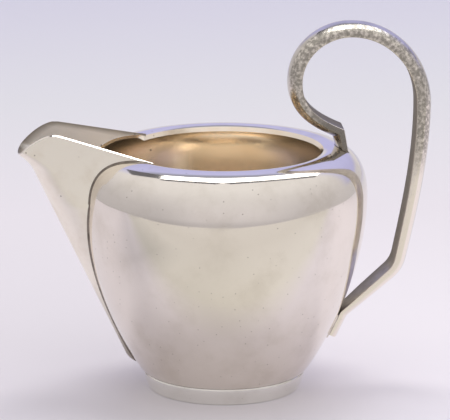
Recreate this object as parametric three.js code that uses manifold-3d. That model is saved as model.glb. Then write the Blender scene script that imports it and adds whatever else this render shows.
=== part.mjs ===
// Cream jug raised from sheet silver: a spun bowl on a ring foot, a folded spout and a strap handle,
// held together by fillets of silver solder. Millimetres, +Z up, the spout points to -X and the
// handle to +X, and the origin is the centre of the foot's underside.
import * as THREE from 'three';
import { mergeVertices } from 'three/addons/utils/BufferGeometryUtils.js';
import Module from 'manifold-3d';

const wasm = await Module();
wasm.setup();

// Joints
const SOLDER_GAP = 0.3; // clearance that the solder bridges between two pieces
const FILLET = 1.1; // reach of a solder fillet from each of its two pieces

// Foot ring
const FOOT_HEIGHT = 4.8;
const FOOT_TOP_RADIUS = 22.4;
const FOOT_UNDERCUT = 1.1; // how far the ring draws in from its top to its base
const FOOT_THICKNESS = 2.2; // width of the ring at its foot
const FOOT_ROUND = 0.5; // rounding of the bottom edge
const FOOT_GROOVE = 0.45; // chamfer under the bowl that shows as a fine line

// Bowl, by its outer profile
const WALL = 0.8;
const BASE_SWEEP = 1.4; // how far the flat base runs on before it turns up
const BELLY_RADIUS = 39.85;
const BELLY_HEIGHT = 55;
const BELLY_FULLNESS = 24.8; // length over which the side stays near its full radius
const SHOULDER_RISE = 8.8; // height over which the shoulder leaves the belly
const SHOULDER_SPAN = 6.2; // width over which the shoulder flattens to its crest
const SHOULDER_WIDTH = 10.25; // from the belly in to the shoulder's highest circle, the crest
const RIM_HEIGHT = 68.3;
const LIP_WIDTH = 2.3; // from the crest in to the mouth
const LIP_DROP = 0.6; // fall from the crest to the mouth's edge

// Spout
const SPOUT_WALL = 0.7;
const SPOUT_OVERHANG = 17.4; // from the belly's radius out to the pouring tip
const SPOUT_SPLAY = THREE.MathUtils.degToRad(19.1); // each side wall's turn away from the axis
const ROOT_LEDGE = 0.333; // ends of the side walls outside the mouth's edge
const SPOUT_ROOT_HALF_WIDTH = 18.3;
const KEEL_FOOT_HEIGHT = 9.5; // lowest point of the spout's tail
const KEEL_PROUD = 1.5; // how far the tail stands off the bowl there
const KEEL_SEAT = 0.9; // least distance from the bowl to the front of the spout
const KEEL_RADIUS = 1.3; // roundness of the tail
const NOSE_TAPER = 0.236; // gain of the nose's radius for each millimetre of height
const TIP_FLARE = 2.2; // outward curl of the pouring tip
const TIP_FLARE_HEIGHT = 4.6;
const TIP_DROP = 0.7; // tip below the rim's crest
const PEAK_SETBACK = 10.1; // from the tip back to the highest points of the lip
const PEAK_RISE = 6.3; // those points above the rim's crest
const PEAK_ROUND = 1.6;
const LIP_BULGE = 1.9; // fullness of the lip's fall from the peaks to the tip
const ROOT_RISE = 0.75; // height of the side walls' ends above the crest
const WINDOW_LEDGE = 1.1; // edge of the bowl left inside the spout for the solder
const WINDOW_SILL = 44; // lowest point of the pouring window
const WINDOW_ROUND = 7; // radius of the window's lower end

// Handle
const STRAP_WIDTH = 9.6;
const TAIL_WIDTH = 8;
const STRAP_CROWN = 0.85; // rise of the rounded outer face over the strap's sides
const POST_THICKNESS = 2.9;
const BEND_THICKNESS = 3.4; // where the post turns into the loop
const LOOP_THICKNESS = 3.9;
const GRIP_THICKNESS = 4.4; // thickest, where the fingers hold it
const ELBOW_THICKNESS = 3.55;
const TAIL_THICKNESS = 2.6;
const POST_SETBACK = 3; // foot of the post outside the crest
const POST_LEAN = 1.1; // shift of the post towards the mouth over its height
const POST_RISE = 4.1; // bend above the rim's crest
const LOOP_INSET = 12.1; // from the post's bend in to the loop's innermost side
const LOOP_SIDE_RISE = 18.5; // innermost side above the crest
const LOOP_TOP_RISE = 33.2; // top of the loop's middle line above the crest
const LOOP_TOP_INSET = 20.45; // from the grip in to the loop's top
const GRIP_STANDOFF = 15.5; // grip's middle line outside the belly
const GRIP_RISE = 11.6; // widest point of the grip above the crest
const ELBOW_STANDOFF = 8.7; // elbow's middle line outside the belly
const ELBOW_HEIGHT = 33.6;
const ELBOW_ROUND = 3; // length of the elbow's bend on each side
const ARC_FULLNESS = 0.55; // share of an arc's width and height that its tangents take up
const LOOP_START_RISE = 0.2; // climb of the loop as it leaves the post, as a share of its side
const TAIL_STANDOFF = 0.5; // solder between the bowl and the tail
const TAIL_TOP_HEIGHT = 20.4;
const TAIL_END_HEIGHT = 14.2;

// Fineness of the facets
const TURN_STEPS = 64;
const CURVE_STEPS = 9;
const LIP_STEPS = 3;
const NOSE_STEPS = 12;
const CROWN_STEPS = 6;

const MARGIN = 5; // overrun of a cutting solid past what it cuts
const MERGE_DISTANCE = 1e-5; // points closer than this are one

// Worked out from the sizes above
const FOOT_BASE_RADIUS = FOOT_TOP_RADIUS - FOOT_UNDERCUT;
const BELLY = new THREE.Vector2(BELLY_RADIUS, BELLY_HEIGHT);
const CREST = new THREE.Vector2(BELLY_RADIUS - SHOULDER_WIDTH, RIM_HEIGHT);
const LIP = new THREE.Vector2(CREST.x - LIP_WIDTH, RIM_HEIGHT - LIP_DROP);
const SPOUT_ROOT = Math.sqrt((LIP.x + ROOT_LEDGE) ** 2 - SPOUT_ROOT_HALF_WIDTH ** 2);
const TIP = new THREE.Vector2(-(BELLY_RADIUS + SPOUT_OVERHANG), RIM_HEIGHT - TIP_DROP);
const PEAK = new THREE.Vector2(TIP.x + PEAK_SETBACK, RIM_HEIGHT + PEAK_RISE);
const SPOUT_TOP = PEAK.y + MARGIN;
const CUTTER_SIZE = 4 * BELLY_RADIUS; // wider than the whole jug

// Helpers for solids

/** A solid for joining and cutting, from a closed geometry. */
function solidOf(geometry) {
  const bare = geometry.clone();
  bare.deleteAttribute('normal');
  bare.deleteAttribute('uv');
  const merged = mergeVertices(bare, MERGE_DISTANCE);
  const vertProperties = new Float32Array(merged.attributes.position.array);
  const triVerts = new Uint32Array(merged.index.array);
  return new wasm.Manifold(new wasm.Mesh({ numProp: 3, vertProperties, triVerts }));
}

/** The geometry of a joined or cut solid. */
function geometryOf(solid) {
  const mesh = solid.getMesh();
  const geometry = new THREE.BufferGeometry();
  geometry.setAttribute('position', new THREE.BufferAttribute(mesh.vertProperties, 3));
  geometry.setIndex(new THREE.BufferAttribute(mesh.triVerts, 1));
  geometry.computeVertexNormals();
  return geometry;
}

/** A solid turned round the Z axis from a closed profile of (radius, height) points. */
function turned(points) {
  return new THREE.LatheGeometry(points, TURN_STEPS).rotateX(Math.PI / 2);
}

/** A solid slab with an outline in (x, z), centred on the plane y = 0. */
function slab(shape, width) {
  const options = { depth: width, bevelEnabled: false, curveSegments: CURVE_STEPS };
  const geometry = new THREE.ExtrudeGeometry(shape, options);
  return geometry.translate(0, 0, -width / 2).rotateX(Math.PI / 2);
}

/** A closed skin over a row of convex rings that all have the same number of points. */
function skin(rings) {
  const count = rings[0].length;
  const positions = rings.flat().flatMap((point) => [point.x, point.y, point.z]);
  const index = [];
  for (let row = 0; row + 1 < rings.length; row++) {
    for (let k = 0; k < count; k++) {
      const a = row * count + k;
      const b = row * count + ((k + 1) % count);
      index.push(a, b, b + count, a, b + count, a + count);
    }
  }
  const last = (rings.length - 1) * count;
  for (let k = 1; k + 1 < count; k++) {
    index.push(0, k + 1, k);
    index.push(last, last + k, last + k + 1);
  }
  const geometry = new THREE.BufferGeometry();
  geometry.setAttribute('position', new THREE.Float32BufferAttribute(positions, 3));
  geometry.setIndex(index);
  return geometry;
}

/** A row of (x, y) points moved to their left by a distance, or by one distance for each point. */
function shifted(points, distance) {
  return points.map((point, k) => {
    const before = points[Math.max(k - 1, 0)];
    const after = points[Math.min(k + 1, points.length - 1)];
    const into = point.clone().sub(before).normalize();
    const out = after.clone().sub(point).normalize();
    const along = into.clone().add(out).normalize();
    const stretch = k > 0 && k + 1 < points.length ? 1 / along.dot(out) : 1;
    const reach = (Array.isArray(distance) ? distance[k] : distance) * stretch;
    return new THREE.Vector2(point.x - along.y * reach, point.y + along.x * reach);
  });
}

// Bowl

/** Outer profile from the edge of the flat base up to the mouth. */
function bowlProfile() {
  const side = new THREE.Path();
  side.moveTo(FOOT_TOP_RADIUS, FOOT_HEIGHT);
  side.bezierCurveTo(
    FOOT_TOP_RADIUS + BASE_SWEEP, FOOT_HEIGHT,
    BELLY.x, BELLY.y - BELLY_FULLNESS,
    BELLY.x, BELLY.y,
  );
  side.bezierCurveTo(
    BELLY.x, BELLY.y + SHOULDER_RISE,
    CREST.x + SHOULDER_SPAN, CREST.y,
    CREST.x, CREST.y,
  );
  const lip = new THREE.Path();
  lip.moveTo(CREST.x, CREST.y);
  lip.quadraticCurveTo((CREST.x + LIP.x) / 2, CREST.y, LIP.x, LIP.y);
  return [...side.getPoints(CURVE_STEPS), ...lip.getPoints(LIP_STEPS).slice(1)];
}

const PROFILE = bowlProfile();

/** Outer radius of the bowl at a height below the crest. */
function bowlRadius(height) {
  const k = PROFILE.findIndex((point) => point.y >= height);
  const low = PROFILE[Math.max(k - 1, 0)];
  const high = PROFILE[Math.max(k, 1)];
  return THREE.MathUtils.mapLinear(height, low.y, high.y, low.x, high.x);
}

/** Everything inside the bowl's outer surface, grown by a clearance. */
function bowlEnvelope(clearance) {
  const side = shifted(PROFILE, -clearance);
  const foot = new THREE.Vector2(0, side[0].y);
  const top = new THREE.Vector2(0, RIM_HEIGHT + clearance);
  const crest = side.findIndex((point) => point.y === Math.max(...side.map((p) => p.y)));
  const level = side.slice(crest + 1).map((point) => new THREE.Vector2(point.x, top.y));
  return solidOf(turned([foot, ...side.slice(0, crest + 1), ...level, top]));
}

/** The bowl's shell, open at the mouth and cut by the pouring window. */
function bowl() {
  const inside = shifted(PROFILE, WALL).reverse();
  const floor = inside[inside.length - 1].y;
  const shell = turned([
    new THREE.Vector2(0, FOOT_HEIGHT),
    ...PROFILE,
    ...inside,
    new THREE.Vector2(0, floor),
  ]);
  return geometryOf(solidOf(shell).subtract(pouringWindow()));
}

// Foot

/** Ring that the bowl stands on, with a flat underside. */
function footRing() {
  const inner = FOOT_BASE_RADIUS - FOOT_THICKNESS;
  const outline = new THREE.Path();
  outline.moveTo(inner, 0);
  outline.lineTo(FOOT_BASE_RADIUS - FOOT_ROUND, 0);
  outline.quadraticCurveTo(FOOT_BASE_RADIUS, 0, FOOT_BASE_RADIUS, FOOT_ROUND);
  outline.quadraticCurveTo(
    FOOT_TOP_RADIUS, FOOT_HEIGHT / 2,
    FOOT_TOP_RADIUS, FOOT_HEIGHT - FOOT_GROOVE,
  );
  outline.lineTo(FOOT_TOP_RADIUS - FOOT_GROOVE, FOOT_HEIGHT);
  outline.lineTo(inner, FOOT_HEIGHT);
  outline.lineTo(inner, 0);
  return turned(outline.getPoints(LIP_STEPS));
}

/** Fillet in the corner between the ring's inner wall and the bowl's underside. */
function footSolder() {
  const outer = FOOT_BASE_RADIUS - FOOT_THICKNESS - SOLDER_GAP;
  const top = FOOT_HEIGHT - SOLDER_GAP;
  const outline = new THREE.Path();
  outline.moveTo(outer, top - FILLET);
  outline.lineTo(outer, top);
  outline.lineTo(outer - FILLET, top);
  outline.quadraticCurveTo(outer - SOLDER_GAP, top - SOLDER_GAP, outer, top - FILLET);
  return turned(outline.getPoints(LIP_STEPS));
}

// Spout

const KEEL_FOOT = -(bowlRadius(KEEL_FOOT_HEIGHT) + KEEL_PROUD);
const KEEL_SLOPE = (TIP.x + TIP_FLARE - KEEL_FOOT) / (TIP.y - KEEL_FOOT_HEIGHT);

/** X of the spout's front line at a height: straight and clear of the bowl, curled at the tip. */
function keelAt(height) {
  const straight = KEEL_FOOT + KEEL_SLOPE * (height - KEEL_FOOT_HEIGHT);
  const seat = -(bowlRadius(Math.min(height, BELLY.y)) + KEEL_SEAT);
  const curl = Math.max(0, (height - TIP.y) / TIP_FLARE_HEIGHT + 1);
  return Math.min(straight, seat) - TIP_FLARE * curl * curl;
}

/** Radius of the spout's nose at a height: a cone that runs out into the flat side walls. */
function noseAt(height) {
  const cone = KEEL_RADIUS + NOSE_TAPER * Math.max(0, height - KEEL_FOOT_HEIGHT);
  const reach = SPOUT_ROOT_HALF_WIDTH + (keelAt(height) + SPOUT_ROOT) * Math.tan(SPOUT_SPLAY);
  return Math.min(cone, reach * Math.cos(SPOUT_SPLAY) / (1 - Math.sin(SPOUT_SPLAY)));
}

/** Level section of the spout at a height, closed across its back and drawn in by a distance. */
function spoutSection(height, inset) {
  const radius = noseAt(height);
  const centre = keelAt(height) + radius;
  const half = Math.PI / 2 - SPOUT_SPLAY;
  const back = -SPOUT_ROOT + MARGIN;
  const ring = [];
  for (let k = 0; k <= NOSE_STEPS; k++) {
    const turn = THREE.MathUtils.lerp(-half, half, k / NOSE_STEPS);
    const x = centre - Math.cos(turn) * (radius - inset);
    const y = Math.sin(turn) * (radius - inset);
    ring.push(new THREE.Vector3(x, y, height));
  }
  const end = ring[NOSE_STEPS];
  const width = end.y + (back - end.x) * Math.tan(SPOUT_SPLAY);
  ring.push(new THREE.Vector3(back, width, height), new THREE.Vector3(back, -width, height));
  return ring.reverse();
}

/** Everything inside the spout's outer surface from a height up, drawn in by a distance. */
function spoutEnvelope(inset, from) {
  const steps = 2 * CURVE_STEPS;
  const rings = [];
  for (let k = 0; k <= steps; k++) {
    rings.push(spoutSection(THREE.MathUtils.lerp(from, SPOUT_TOP, k / steps), inset));
  }
  return solidOf(skin(rings));
}

/** Everything below the spout's lip line and in front of the mouth. */
function belowLip(drop) {
  const root = new THREE.Vector2(-SPOUT_ROOT, RIM_HEIGHT + ROOT_RISE);
  const before = PEAK.clone().add(root.clone().sub(PEAK).setLength(PEAK_ROUND));
  const fall = TIP.clone().sub(PEAK);
  const normal = new THREE.Vector2(fall.y, -fall.x).normalize();
  const full = PEAK.clone().add(TIP).divideScalar(2).addScaledVector(normal, LIP_BULGE);
  const after = PEAK.clone().add(full.clone().sub(PEAK).setLength(PEAK_ROUND));
  const beyond = TIP.clone().add(fall);
  const shape = new THREE.Shape();
  shape.moveTo(root.x, 0);
  shape.lineTo(root.x, root.y - drop);
  shape.lineTo(before.x, before.y - drop);
  shape.quadraticCurveTo(PEAK.x, PEAK.y - drop, after.x, after.y - drop);
  shape.quadraticCurveTo(full.x, full.y - drop, TIP.x, TIP.y - drop);
  shape.lineTo(beyond.x, TIP.y - drop);
  shape.lineTo(beyond.x, 0);
  return solidOf(slab(shape, CUTTER_SIZE));
}

/** Folded sheet from the tail to the pouring lip, fitted round the bowl. */
function spout() {
  const channelFoot = KEEL_FOOT_HEIGHT + (2 * SPOUT_WALL) / NOSE_TAPER;
  const sheet = spoutEnvelope(0, KEEL_FOOT_HEIGHT).subtract(spoutEnvelope(SPOUT_WALL, channelFoot));
  return geometryOf(sheet.intersect(belowLip(0)).subtract(bowlEnvelope(SOLDER_GAP)));
}

/** Opening in the bowl behind the spout, narrower than its channel, with a round lower end. */
function pouringWindow() {
  const width = SPOUT_ROOT_HALF_WIDTH;
  const spring = WINDOW_SILL + WINDOW_ROUND;
  const shape = new THREE.Shape();
  shape.moveTo(width, spring + width);
  shape.lineTo(WINDOW_ROUND, spring);
  shape.absarc(0, spring, WINDOW_ROUND, 0, Math.PI, true);
  shape.lineTo(-width, spring + width);
  shape.lineTo(-width, SPOUT_TOP);
  shape.lineTo(width, SPOUT_TOP);
  const arch = slab(shape, CUTTER_SIZE).rotateZ(Math.PI / 2);
  return spoutEnvelope(SPOUT_WALL + WINDOW_LEDGE, WINDOW_SILL - MARGIN).intersect(solidOf(arch));
}

/** Solder along the seam where the spout meets the bowl, round the tail from lip to lip. */
function spoutSolder() {
  const near = spoutEnvelope(-FILLET, KEEL_FOOT_HEIGHT - FILLET).intersect(bowlEnvelope(FILLET));
  const bare = near.subtract(spoutEnvelope(-SOLDER_GAP, KEEL_FOOT_HEIGHT - SOLDER_GAP));
  return geometryOf(bare.subtract(bowlEnvelope(SOLDER_GAP)).intersect(belowLip(SOLDER_GAP)));
}

// Handle

/** Middle line of the strap in (x, z), from inside the shoulder to the end of the tail. */
function handleLine() {
  const foot = new THREE.Vector2(CREST.x + POST_SETBACK, RIM_HEIGHT - 2 * LOOP_THICKNESS);
  const bend = new THREE.Vector2(foot.x - POST_LEAN, RIM_HEIGHT + POST_RISE);
  const side = new THREE.Vector2(bend.x - LOOP_INSET, RIM_HEIGHT + LOOP_SIDE_RISE);
  const grip = new THREE.Vector2(BELLY_RADIUS + GRIP_STANDOFF, RIM_HEIGHT + GRIP_RISE);
  const top = new THREE.Vector2(grip.x - LOOP_TOP_INSET, RIM_HEIGHT + LOOP_TOP_RISE);
  const elbow = new THREE.Vector2(BELLY_RADIUS + ELBOW_STANDOFF, ELBOW_HEIGHT);
  const standoff = TAIL_STANDOFF + TAIL_THICKNESS / 2;
  const onBowl = (height) => new THREE.Vector2(bowlRadius(height) + standoff, height);
  const tail = onBowl(TAIL_TOP_HEIGHT);
  const end = onBowl(TAIL_END_HEIGHT);
  const { lerp } = THREE.MathUtils;
  const line = new THREE.Path();
  line.moveTo(foot.x, foot.y);
  line.lineTo(bend.x, bend.y);
  line.bezierCurveTo(
    lerp(bend.x, side.x, ARC_FULLNESS), lerp(bend.y, side.y, LOOP_START_RISE),
    side.x, lerp(side.y, bend.y, ARC_FULLNESS),
    side.x, side.y,
  );
  line.bezierCurveTo(
    side.x, lerp(side.y, top.y, ARC_FULLNESS),
    lerp(top.x, side.x, ARC_FULLNESS), top.y,
    top.x, top.y,
  );
  line.bezierCurveTo(
    lerp(top.x, grip.x, ARC_FULLNESS), top.y,
    grip.x, lerp(grip.y, top.y, ARC_FULLNESS),
    grip.x, grip.y,
  );
  const fall = grip.clone().sub(elbow);
  const lead = new THREE.Vector2(elbow.x + fall.x / 2, elbow.y + fall.y / 3);
  const above = elbow.clone().add(lead.clone().sub(elbow).setLength(ELBOW_ROUND));
  const below = elbow.clone().add(tail.clone().sub(elbow).setLength(ELBOW_ROUND));
  line.bezierCurveTo(grip.x, grip.y - fall.y / 3, lead.x, lead.y, above.x, above.y);
  line.quadraticCurveTo(elbow.x, elbow.y, below.x, below.y);
  line.lineTo(tail.x, tail.y);
  line.lineTo(end.x, end.y);
  return line;
}

/** Points of the strap's middle line, each with the thickness and width of the strap there. */
function strapStations() {
  const line = handleLine();
  const curves = line.curves;
  const thickness = [
    POST_THICKNESS, BEND_THICKNESS, LOOP_THICKNESS, LOOP_THICKNESS, GRIP_THICKNESS,
    ELBOW_THICKNESS, ELBOW_THICKNESS, TAIL_THICKNESS, TAIL_THICKNESS,
  ];
  const stations = [];
  curves.forEach((curve, k) => {
    const steps = curve.isLineCurve ? 2 : CURVE_STEPS;
    const slender = k >= curves.length - 2;
    for (let j = k === 0 ? 0 : 1; j <= steps; j++) {
      const share = j / steps;
      stations.push({
        point: curve.getPoint(share),
        thickness: THREE.MathUtils.lerp(thickness[k], thickness[k + 1], share),
        width: slender && (k > curves.length - 2 || share === 1) ? TAIL_WIDTH : STRAP_WIDTH,
      });
    }
  });
  return stations;
}

/** The strap's solid, grown by a clearance: flat inside, crowned outside, mitred at its bends. */
function strap(clearance) {
  const stations = strapStations();
  const line = stations.map((station) => station.point);
  const [last, end] = line.slice(-2);
  end.add(end.clone().sub(last).setLength(clearance));
  const inner = shifted(line, stations.map((s) => -s.thickness / 2 - clearance));
  const outer = shifted(line, stations.map((s) => s.thickness / 2 + clearance));
  const rings = stations.map((station, k) => {
    const half = station.width / 2 + clearance;
    const side = 1 - STRAP_CROWN / station.thickness;
    const at = (across, up) => {
      const point = inner[k].clone().lerp(outer[k], up);
      return new THREE.Vector3(point.x, across, point.y);
    };
    const ring = [at(-half, 0), at(half, 0)];
    for (let j = 0; j <= CROWN_STEPS; j++) {
      const turn = (Math.PI * j) / CROWN_STEPS;
      ring.push(at(half * Math.cos(turn), side + (1 - side) * Math.sin(turn)));
    }
    return ring;
  });
  return solidOf(skin(rings));
}

/** Strap handle, cut to sit on the bowl at its post and along its tail. */
function handle() {
  return geometryOf(strap(0).subtract(bowlEnvelope(SOLDER_GAP)));
}

/** A box that holds all of the handle from the elbow up, or from it down. */
function handlePart(above) {
  const half = CUTTER_SIZE / 2;
  const box = new THREE.BoxGeometry(CUTTER_SIZE, CUTTER_SIZE, CUTTER_SIZE);
  return solidOf(box.translate(half, 0, ELBOW_HEIGHT + (above ? half : -half)));
}

/** Solder round the foot of the post, or round the tail. */
function handleSolder(above) {
  const near = strap(FILLET).intersect(bowlEnvelope(FILLET)).intersect(handlePart(above));
  return geometryOf(near.subtract(strap(SOLDER_GAP)).subtract(bowlEnvelope(SOLDER_GAP)));
}

// Assembly

const SILVER = { color: 0xcfc8c0, metalness: 1, roughness: 0.22 };
const WORN_SILVER = { color: 0xb9b2a6, metalness: 1, roughness: 0.34 };
const SOLDER = { color: 0xbdb8ae, metalness: 1, roughness: 0.4 };

const PIECES = [
  ['bowl', bowl(), SILVER],
  ['foot_ring', footRing(), SILVER],
  ['foot_solder', footSolder(), SOLDER],
  ['spout', spout(), SILVER],
  ['spout_solder', spoutSolder(), SOLDER],
  ['handle', handle(), WORN_SILVER],
  ['handle_root_solder', handleSolder(true), SOLDER],
  ['handle_tail_solder', handleSolder(false), SOLDER],
];

const creamer = new THREE.Group();
creamer.name = 'creamer';
for (const [name, geometry, finish] of PIECES) {
  const mesh = new THREE.Mesh(geometry, new THREE.MeshStandardMaterial(finish));
  mesh.name = name;
  creamer.add(mesh);
}

export default creamer;
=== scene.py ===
"""Dresses a small silver cream jug: spun bowl, ring foot, folded spout, strap handle and their solder.

Everything is in metres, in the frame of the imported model: +Z is up, the spout points to -X and the
handle to +X, and the origin is the centre of the foot's underside.
"""
import logging
import math
from collections.abc import Callable, Sequence
from dataclasses import dataclass, field, replace
from enum import Enum
from functools import partial

import bmesh
import bpy
import numpy as np
from mathutils import Matrix, Vector


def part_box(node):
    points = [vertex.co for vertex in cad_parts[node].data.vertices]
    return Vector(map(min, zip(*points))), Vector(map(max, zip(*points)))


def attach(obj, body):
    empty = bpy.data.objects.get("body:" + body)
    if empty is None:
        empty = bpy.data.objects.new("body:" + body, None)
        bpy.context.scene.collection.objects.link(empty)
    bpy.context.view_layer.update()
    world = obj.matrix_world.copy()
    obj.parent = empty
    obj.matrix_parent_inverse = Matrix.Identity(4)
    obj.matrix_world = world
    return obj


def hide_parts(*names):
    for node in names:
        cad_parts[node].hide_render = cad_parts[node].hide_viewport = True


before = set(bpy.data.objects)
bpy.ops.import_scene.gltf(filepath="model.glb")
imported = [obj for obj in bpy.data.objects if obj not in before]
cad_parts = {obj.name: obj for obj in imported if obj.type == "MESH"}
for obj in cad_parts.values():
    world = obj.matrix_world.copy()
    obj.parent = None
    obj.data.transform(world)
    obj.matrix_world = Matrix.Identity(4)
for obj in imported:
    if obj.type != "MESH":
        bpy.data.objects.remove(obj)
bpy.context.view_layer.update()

Material, Mesh, Piece = bpy.types.Material, bpy.types.Mesh, bpy.types.Object
Node, Socket, Tree = bpy.types.Node, bpy.types.NodeSocket, bpy.types.NodeTree
Source = Node | Socket  # what an input is linked to; a node stands for its first output
Row = tuple[Vector, Vector, Vector]  # place of a section, and its axes across and upwards
Stops = tuple[tuple[float, str], ...]  # values and their colours, from the lowest value up
Inputs = dict[str | int, object]  # value, socket or node for each input, by the input's name or number
Point = Vector | Sequence[float]

LOG = logging.getLogger("creamer")
MM = 0.001
WELD = 0.002 * MM  # points closer than this are one
CRISP_ANGLE = math.radians(32)  # edges sharper than this stay crisp
CUT_EDGE = 0.7  # a face whose normal shares less than this with the sheet's is a cut edge
HALVINGS = 40  # steps of a search by halving
PAINTED_SHADE = "painted_shade_share"  # attribute that says how much painted shade a point gets, from 0 to 1

# Sockets of the Mix node for colours, whose names repeat for other kinds of value
MIX_FACTOR, MIX_FIRST, MIX_SECOND, MIX_RESULT = 0, 6, 7, 2


class Slot(Enum):
    """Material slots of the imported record."""

    SILVER = "silver"
    HANDLE = "handle_silver"
    SOLDER = "solder"


class StrapFace(Enum):
    """Faces of the handle's strap that are finished apart, by the number of their material."""

    SIDE = 0
    CROWN = 1
    INSIDE = 2


class SheetFace(Enum):
    """Faces of the spout's sheet that are finished apart, by the number of their material."""

    OUTSIDE = 0
    INSIDE = 1
    LIP = 2


# Small helpers


def linear(colour: str) -> tuple[float, float, float, float]:
    """Turns an sRGB hex colour into linear RGBA.

    Args:
        colour: Colour as "#RRGGBB".

    Returns:
        The linear red, green and blue, with an alpha of 1.
    """
    shares = [int(colour[k:k + 2], 16) / 255 for k in (1, 3, 5)]
    return (*(s / 12.92 if s <= 0.04045 else ((s + 0.055) / 1.055) ** 2.4 for s in shares), 1.0)


def add_node(tree: Tree, kind: str, inputs: Inputs | None = None, **settings: object) -> Node:
    """Adds a node to a tree, sets its properties and fills its inputs.

    Args:
        tree: Tree that gets the node.
        kind: Blender's name for the node's type.
        inputs: What goes into its inputs.
        **settings: Properties of the node itself.

    Returns:
        The new node.
    """
    node = tree.nodes.new(kind)
    for name, value in settings.items():
        setattr(node, name, value)
    for key, value in (inputs or {}).items():
        source = value.outputs[0] if isinstance(value, Node) else value
        if isinstance(source, Socket):
            tree.links.new(source, node.inputs[key])
        else:
            node.inputs[key].default_value = source
    return node


def mix_stops(tree: Tree, value: Source, stops: Stops) -> Socket:
    """Runs through a row of colours as a value climbs.

    Args:
        tree: Tree that gets the nodes.
        value: Value that picks the colour.
        stops: Value and sRGB hex colour of each stop.

    Returns:
        Socket of the mixed colour.
    """
    colour = linear(stops[0][1])
    for (low, _), (high, shade) in zip(stops, stops[1:]):
        share = add_node(tree, "ShaderNodeMapRange", {0: value, 1: low, 2: high})
        inputs = {MIX_FACTOR: share, MIX_FIRST: colour, MIX_SECOND: linear(shade)}
        colour = add_node(tree, "ShaderNodeMix", inputs, data_type="RGBA").outputs[MIX_RESULT]
    return colour


def empty_material(name: str) -> Material:
    """Makes a material that has no nodes yet.

    Args:
        name: Name of the material.

    Returns:
        The new material.
    """
    material = bpy.data.materials.new(name)
    material.use_nodes = True
    material.node_tree.nodes.clear()
    return material


def curve_points(control: Sequence[Point], steps: int) -> list[Vector]:
    """Points along a Bezier curve of any degree, both ends included.

    Args:
        control: Control points, from end to end.
        steps: Number of stretches between the points.

    Returns:
        The curve's points.
    """
    points = []
    for k in range(steps + 1):
        row = [Vector(point) for point in control]
        while len(row) > 1:
            row = [a.lerp(b, k / steps) for a, b in zip(row, row[1:])]
        points.append(row[0])
    return points


def offset_line(points: Sequence[Vector], distances: Sequence[float]) -> list[Vector]:
    """Moves each point of a flat line to its left, mitred at the bends.

    Args:
        points: The line's points in two dimensions.
        distances: How far each point moves.

    Returns:
        The moved points.
    """
    moved = []
    for k, point in enumerate(points):
        into = (point - points[k - 1] if k else points[1] - point).normalized()
        out = (points[k + 1] - point).normalized() if k + 1 < len(points) else into
        along = (into + out).normalized()
        reach = distances[k] / along.dot(out)
        moved.append(Vector((point.x - along.y * reach, point.y + along.x * reach)))
    return moved


def crossing(measure: Callable[[float], float], low: float, high: float) -> float:
    """Finds where a measure changes sign between two values, by halving.

    Args:
        measure: Function that is at most 0 at low and above 0 at high.
        low: Value on the lower side.
        high: Value on the upper side.

    Returns:
        The value at the change of sign.
    """
    for _ in range(HALVINGS):
        middle = (low + high) / 2
        if measure(middle) > 0:
            high = middle
        else:
            low = middle
    return (low + high) / 2


def link_mesh(name: str, points: Sequence[Point], edges: Sequence[tuple[int, int]] = (),
              faces: Sequence[tuple[int, ...]] = ()) -> Piece:
    """Makes a mesh object and links it to the scene.

    Args:
        name: Name of the object.
        points: Its points.
        edges: Pairs of points, by their numbers.
        faces: Rings of points, by their numbers.

    Returns:
        The new object.
    """
    mesh = bpy.data.meshes.new(name)
    mesh.from_pydata([tuple(point) for point in points], edges, faces)
    piece = bpy.data.objects.new(name, mesh)
    bpy.context.scene.collection.objects.link(piece)
    return piece


def link_line(name: str, points: Sequence[Point]) -> Piece:
    """Makes a line of points, joined one after the other, for a node tree to read."""
    return link_mesh(name, points, edges=[(k, k + 1) for k in range(len(points) - 1)])


def skin_rings(name: str, rings: Sequence[Sequence[Vector]]) -> Piece:
    """Makes a closed mesh over a row of closed rings that all have the same number of points.

    Args:
        name: Name of the new piece.
        rings: The rings, each a list of points in the same order.

    Returns:
        The new piece.
    """
    count = len(rings[0])
    faces = [tuple(range(count))[::-1]]
    for row in range(len(rings) - 1):
        for k in range(count):
            a, b = row * count + k, row * count + (k + 1) % count
            faces.append((a, b, b + count, a + count))
    last = (len(rings) - 1) * count
    faces.append(tuple(range(last, last + count)))
    piece = link_mesh(name, [point for ring in rings for point in ring], faces=faces)
    tidy_mesh(piece)
    return piece


def tidy_mesh(piece: Piece) -> None:
    """Welds doubles, closes open ends, turns the faces outwards and marks the crisp edges.

    Args:
        piece: Piece whose mesh is tidied.
    """
    work = bmesh.new()
    work.from_mesh(piece.data)
    bmesh.ops.remove_doubles(work, verts=work.verts, dist=WELD)
    bmesh.ops.holes_fill(work, edges=[edge for edge in work.edges if edge.is_boundary])
    bmesh.ops.recalc_face_normals(work, faces=work.faces)
    work.to_mesh(piece.data)
    work.free()
    piece.data.shade_smooth()
    piece.data.set_sharp_from_angle(angle=CRISP_ANGLE)


def bake_modifiers(piece: Piece) -> None:
    """Turns a piece's evaluated shape into its plain mesh and removes its modifiers.

    Args:
        piece: Piece that has the modifiers.
    """
    graph = bpy.context.evaluated_depsgraph_get()
    mesh = bpy.data.meshes.new_from_object(piece.evaluated_get(graph))
    piece.modifiers.clear()
    piece.data = mesh


def cut_away(piece: Piece, tool: Piece) -> None:
    """Cuts a solid out of a piece.

    Args:
        piece: Piece that is cut.
        tool: Solid that cuts it, which is used up.
    """
    cut = piece.modifiers.new(tool.name, "BOOLEAN")
    cut.object = tool
    cut.solver = "EXACT"
    bake_modifiers(piece)
    bpy.data.objects.remove(tool)
    tidy_mesh(piece)


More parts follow.
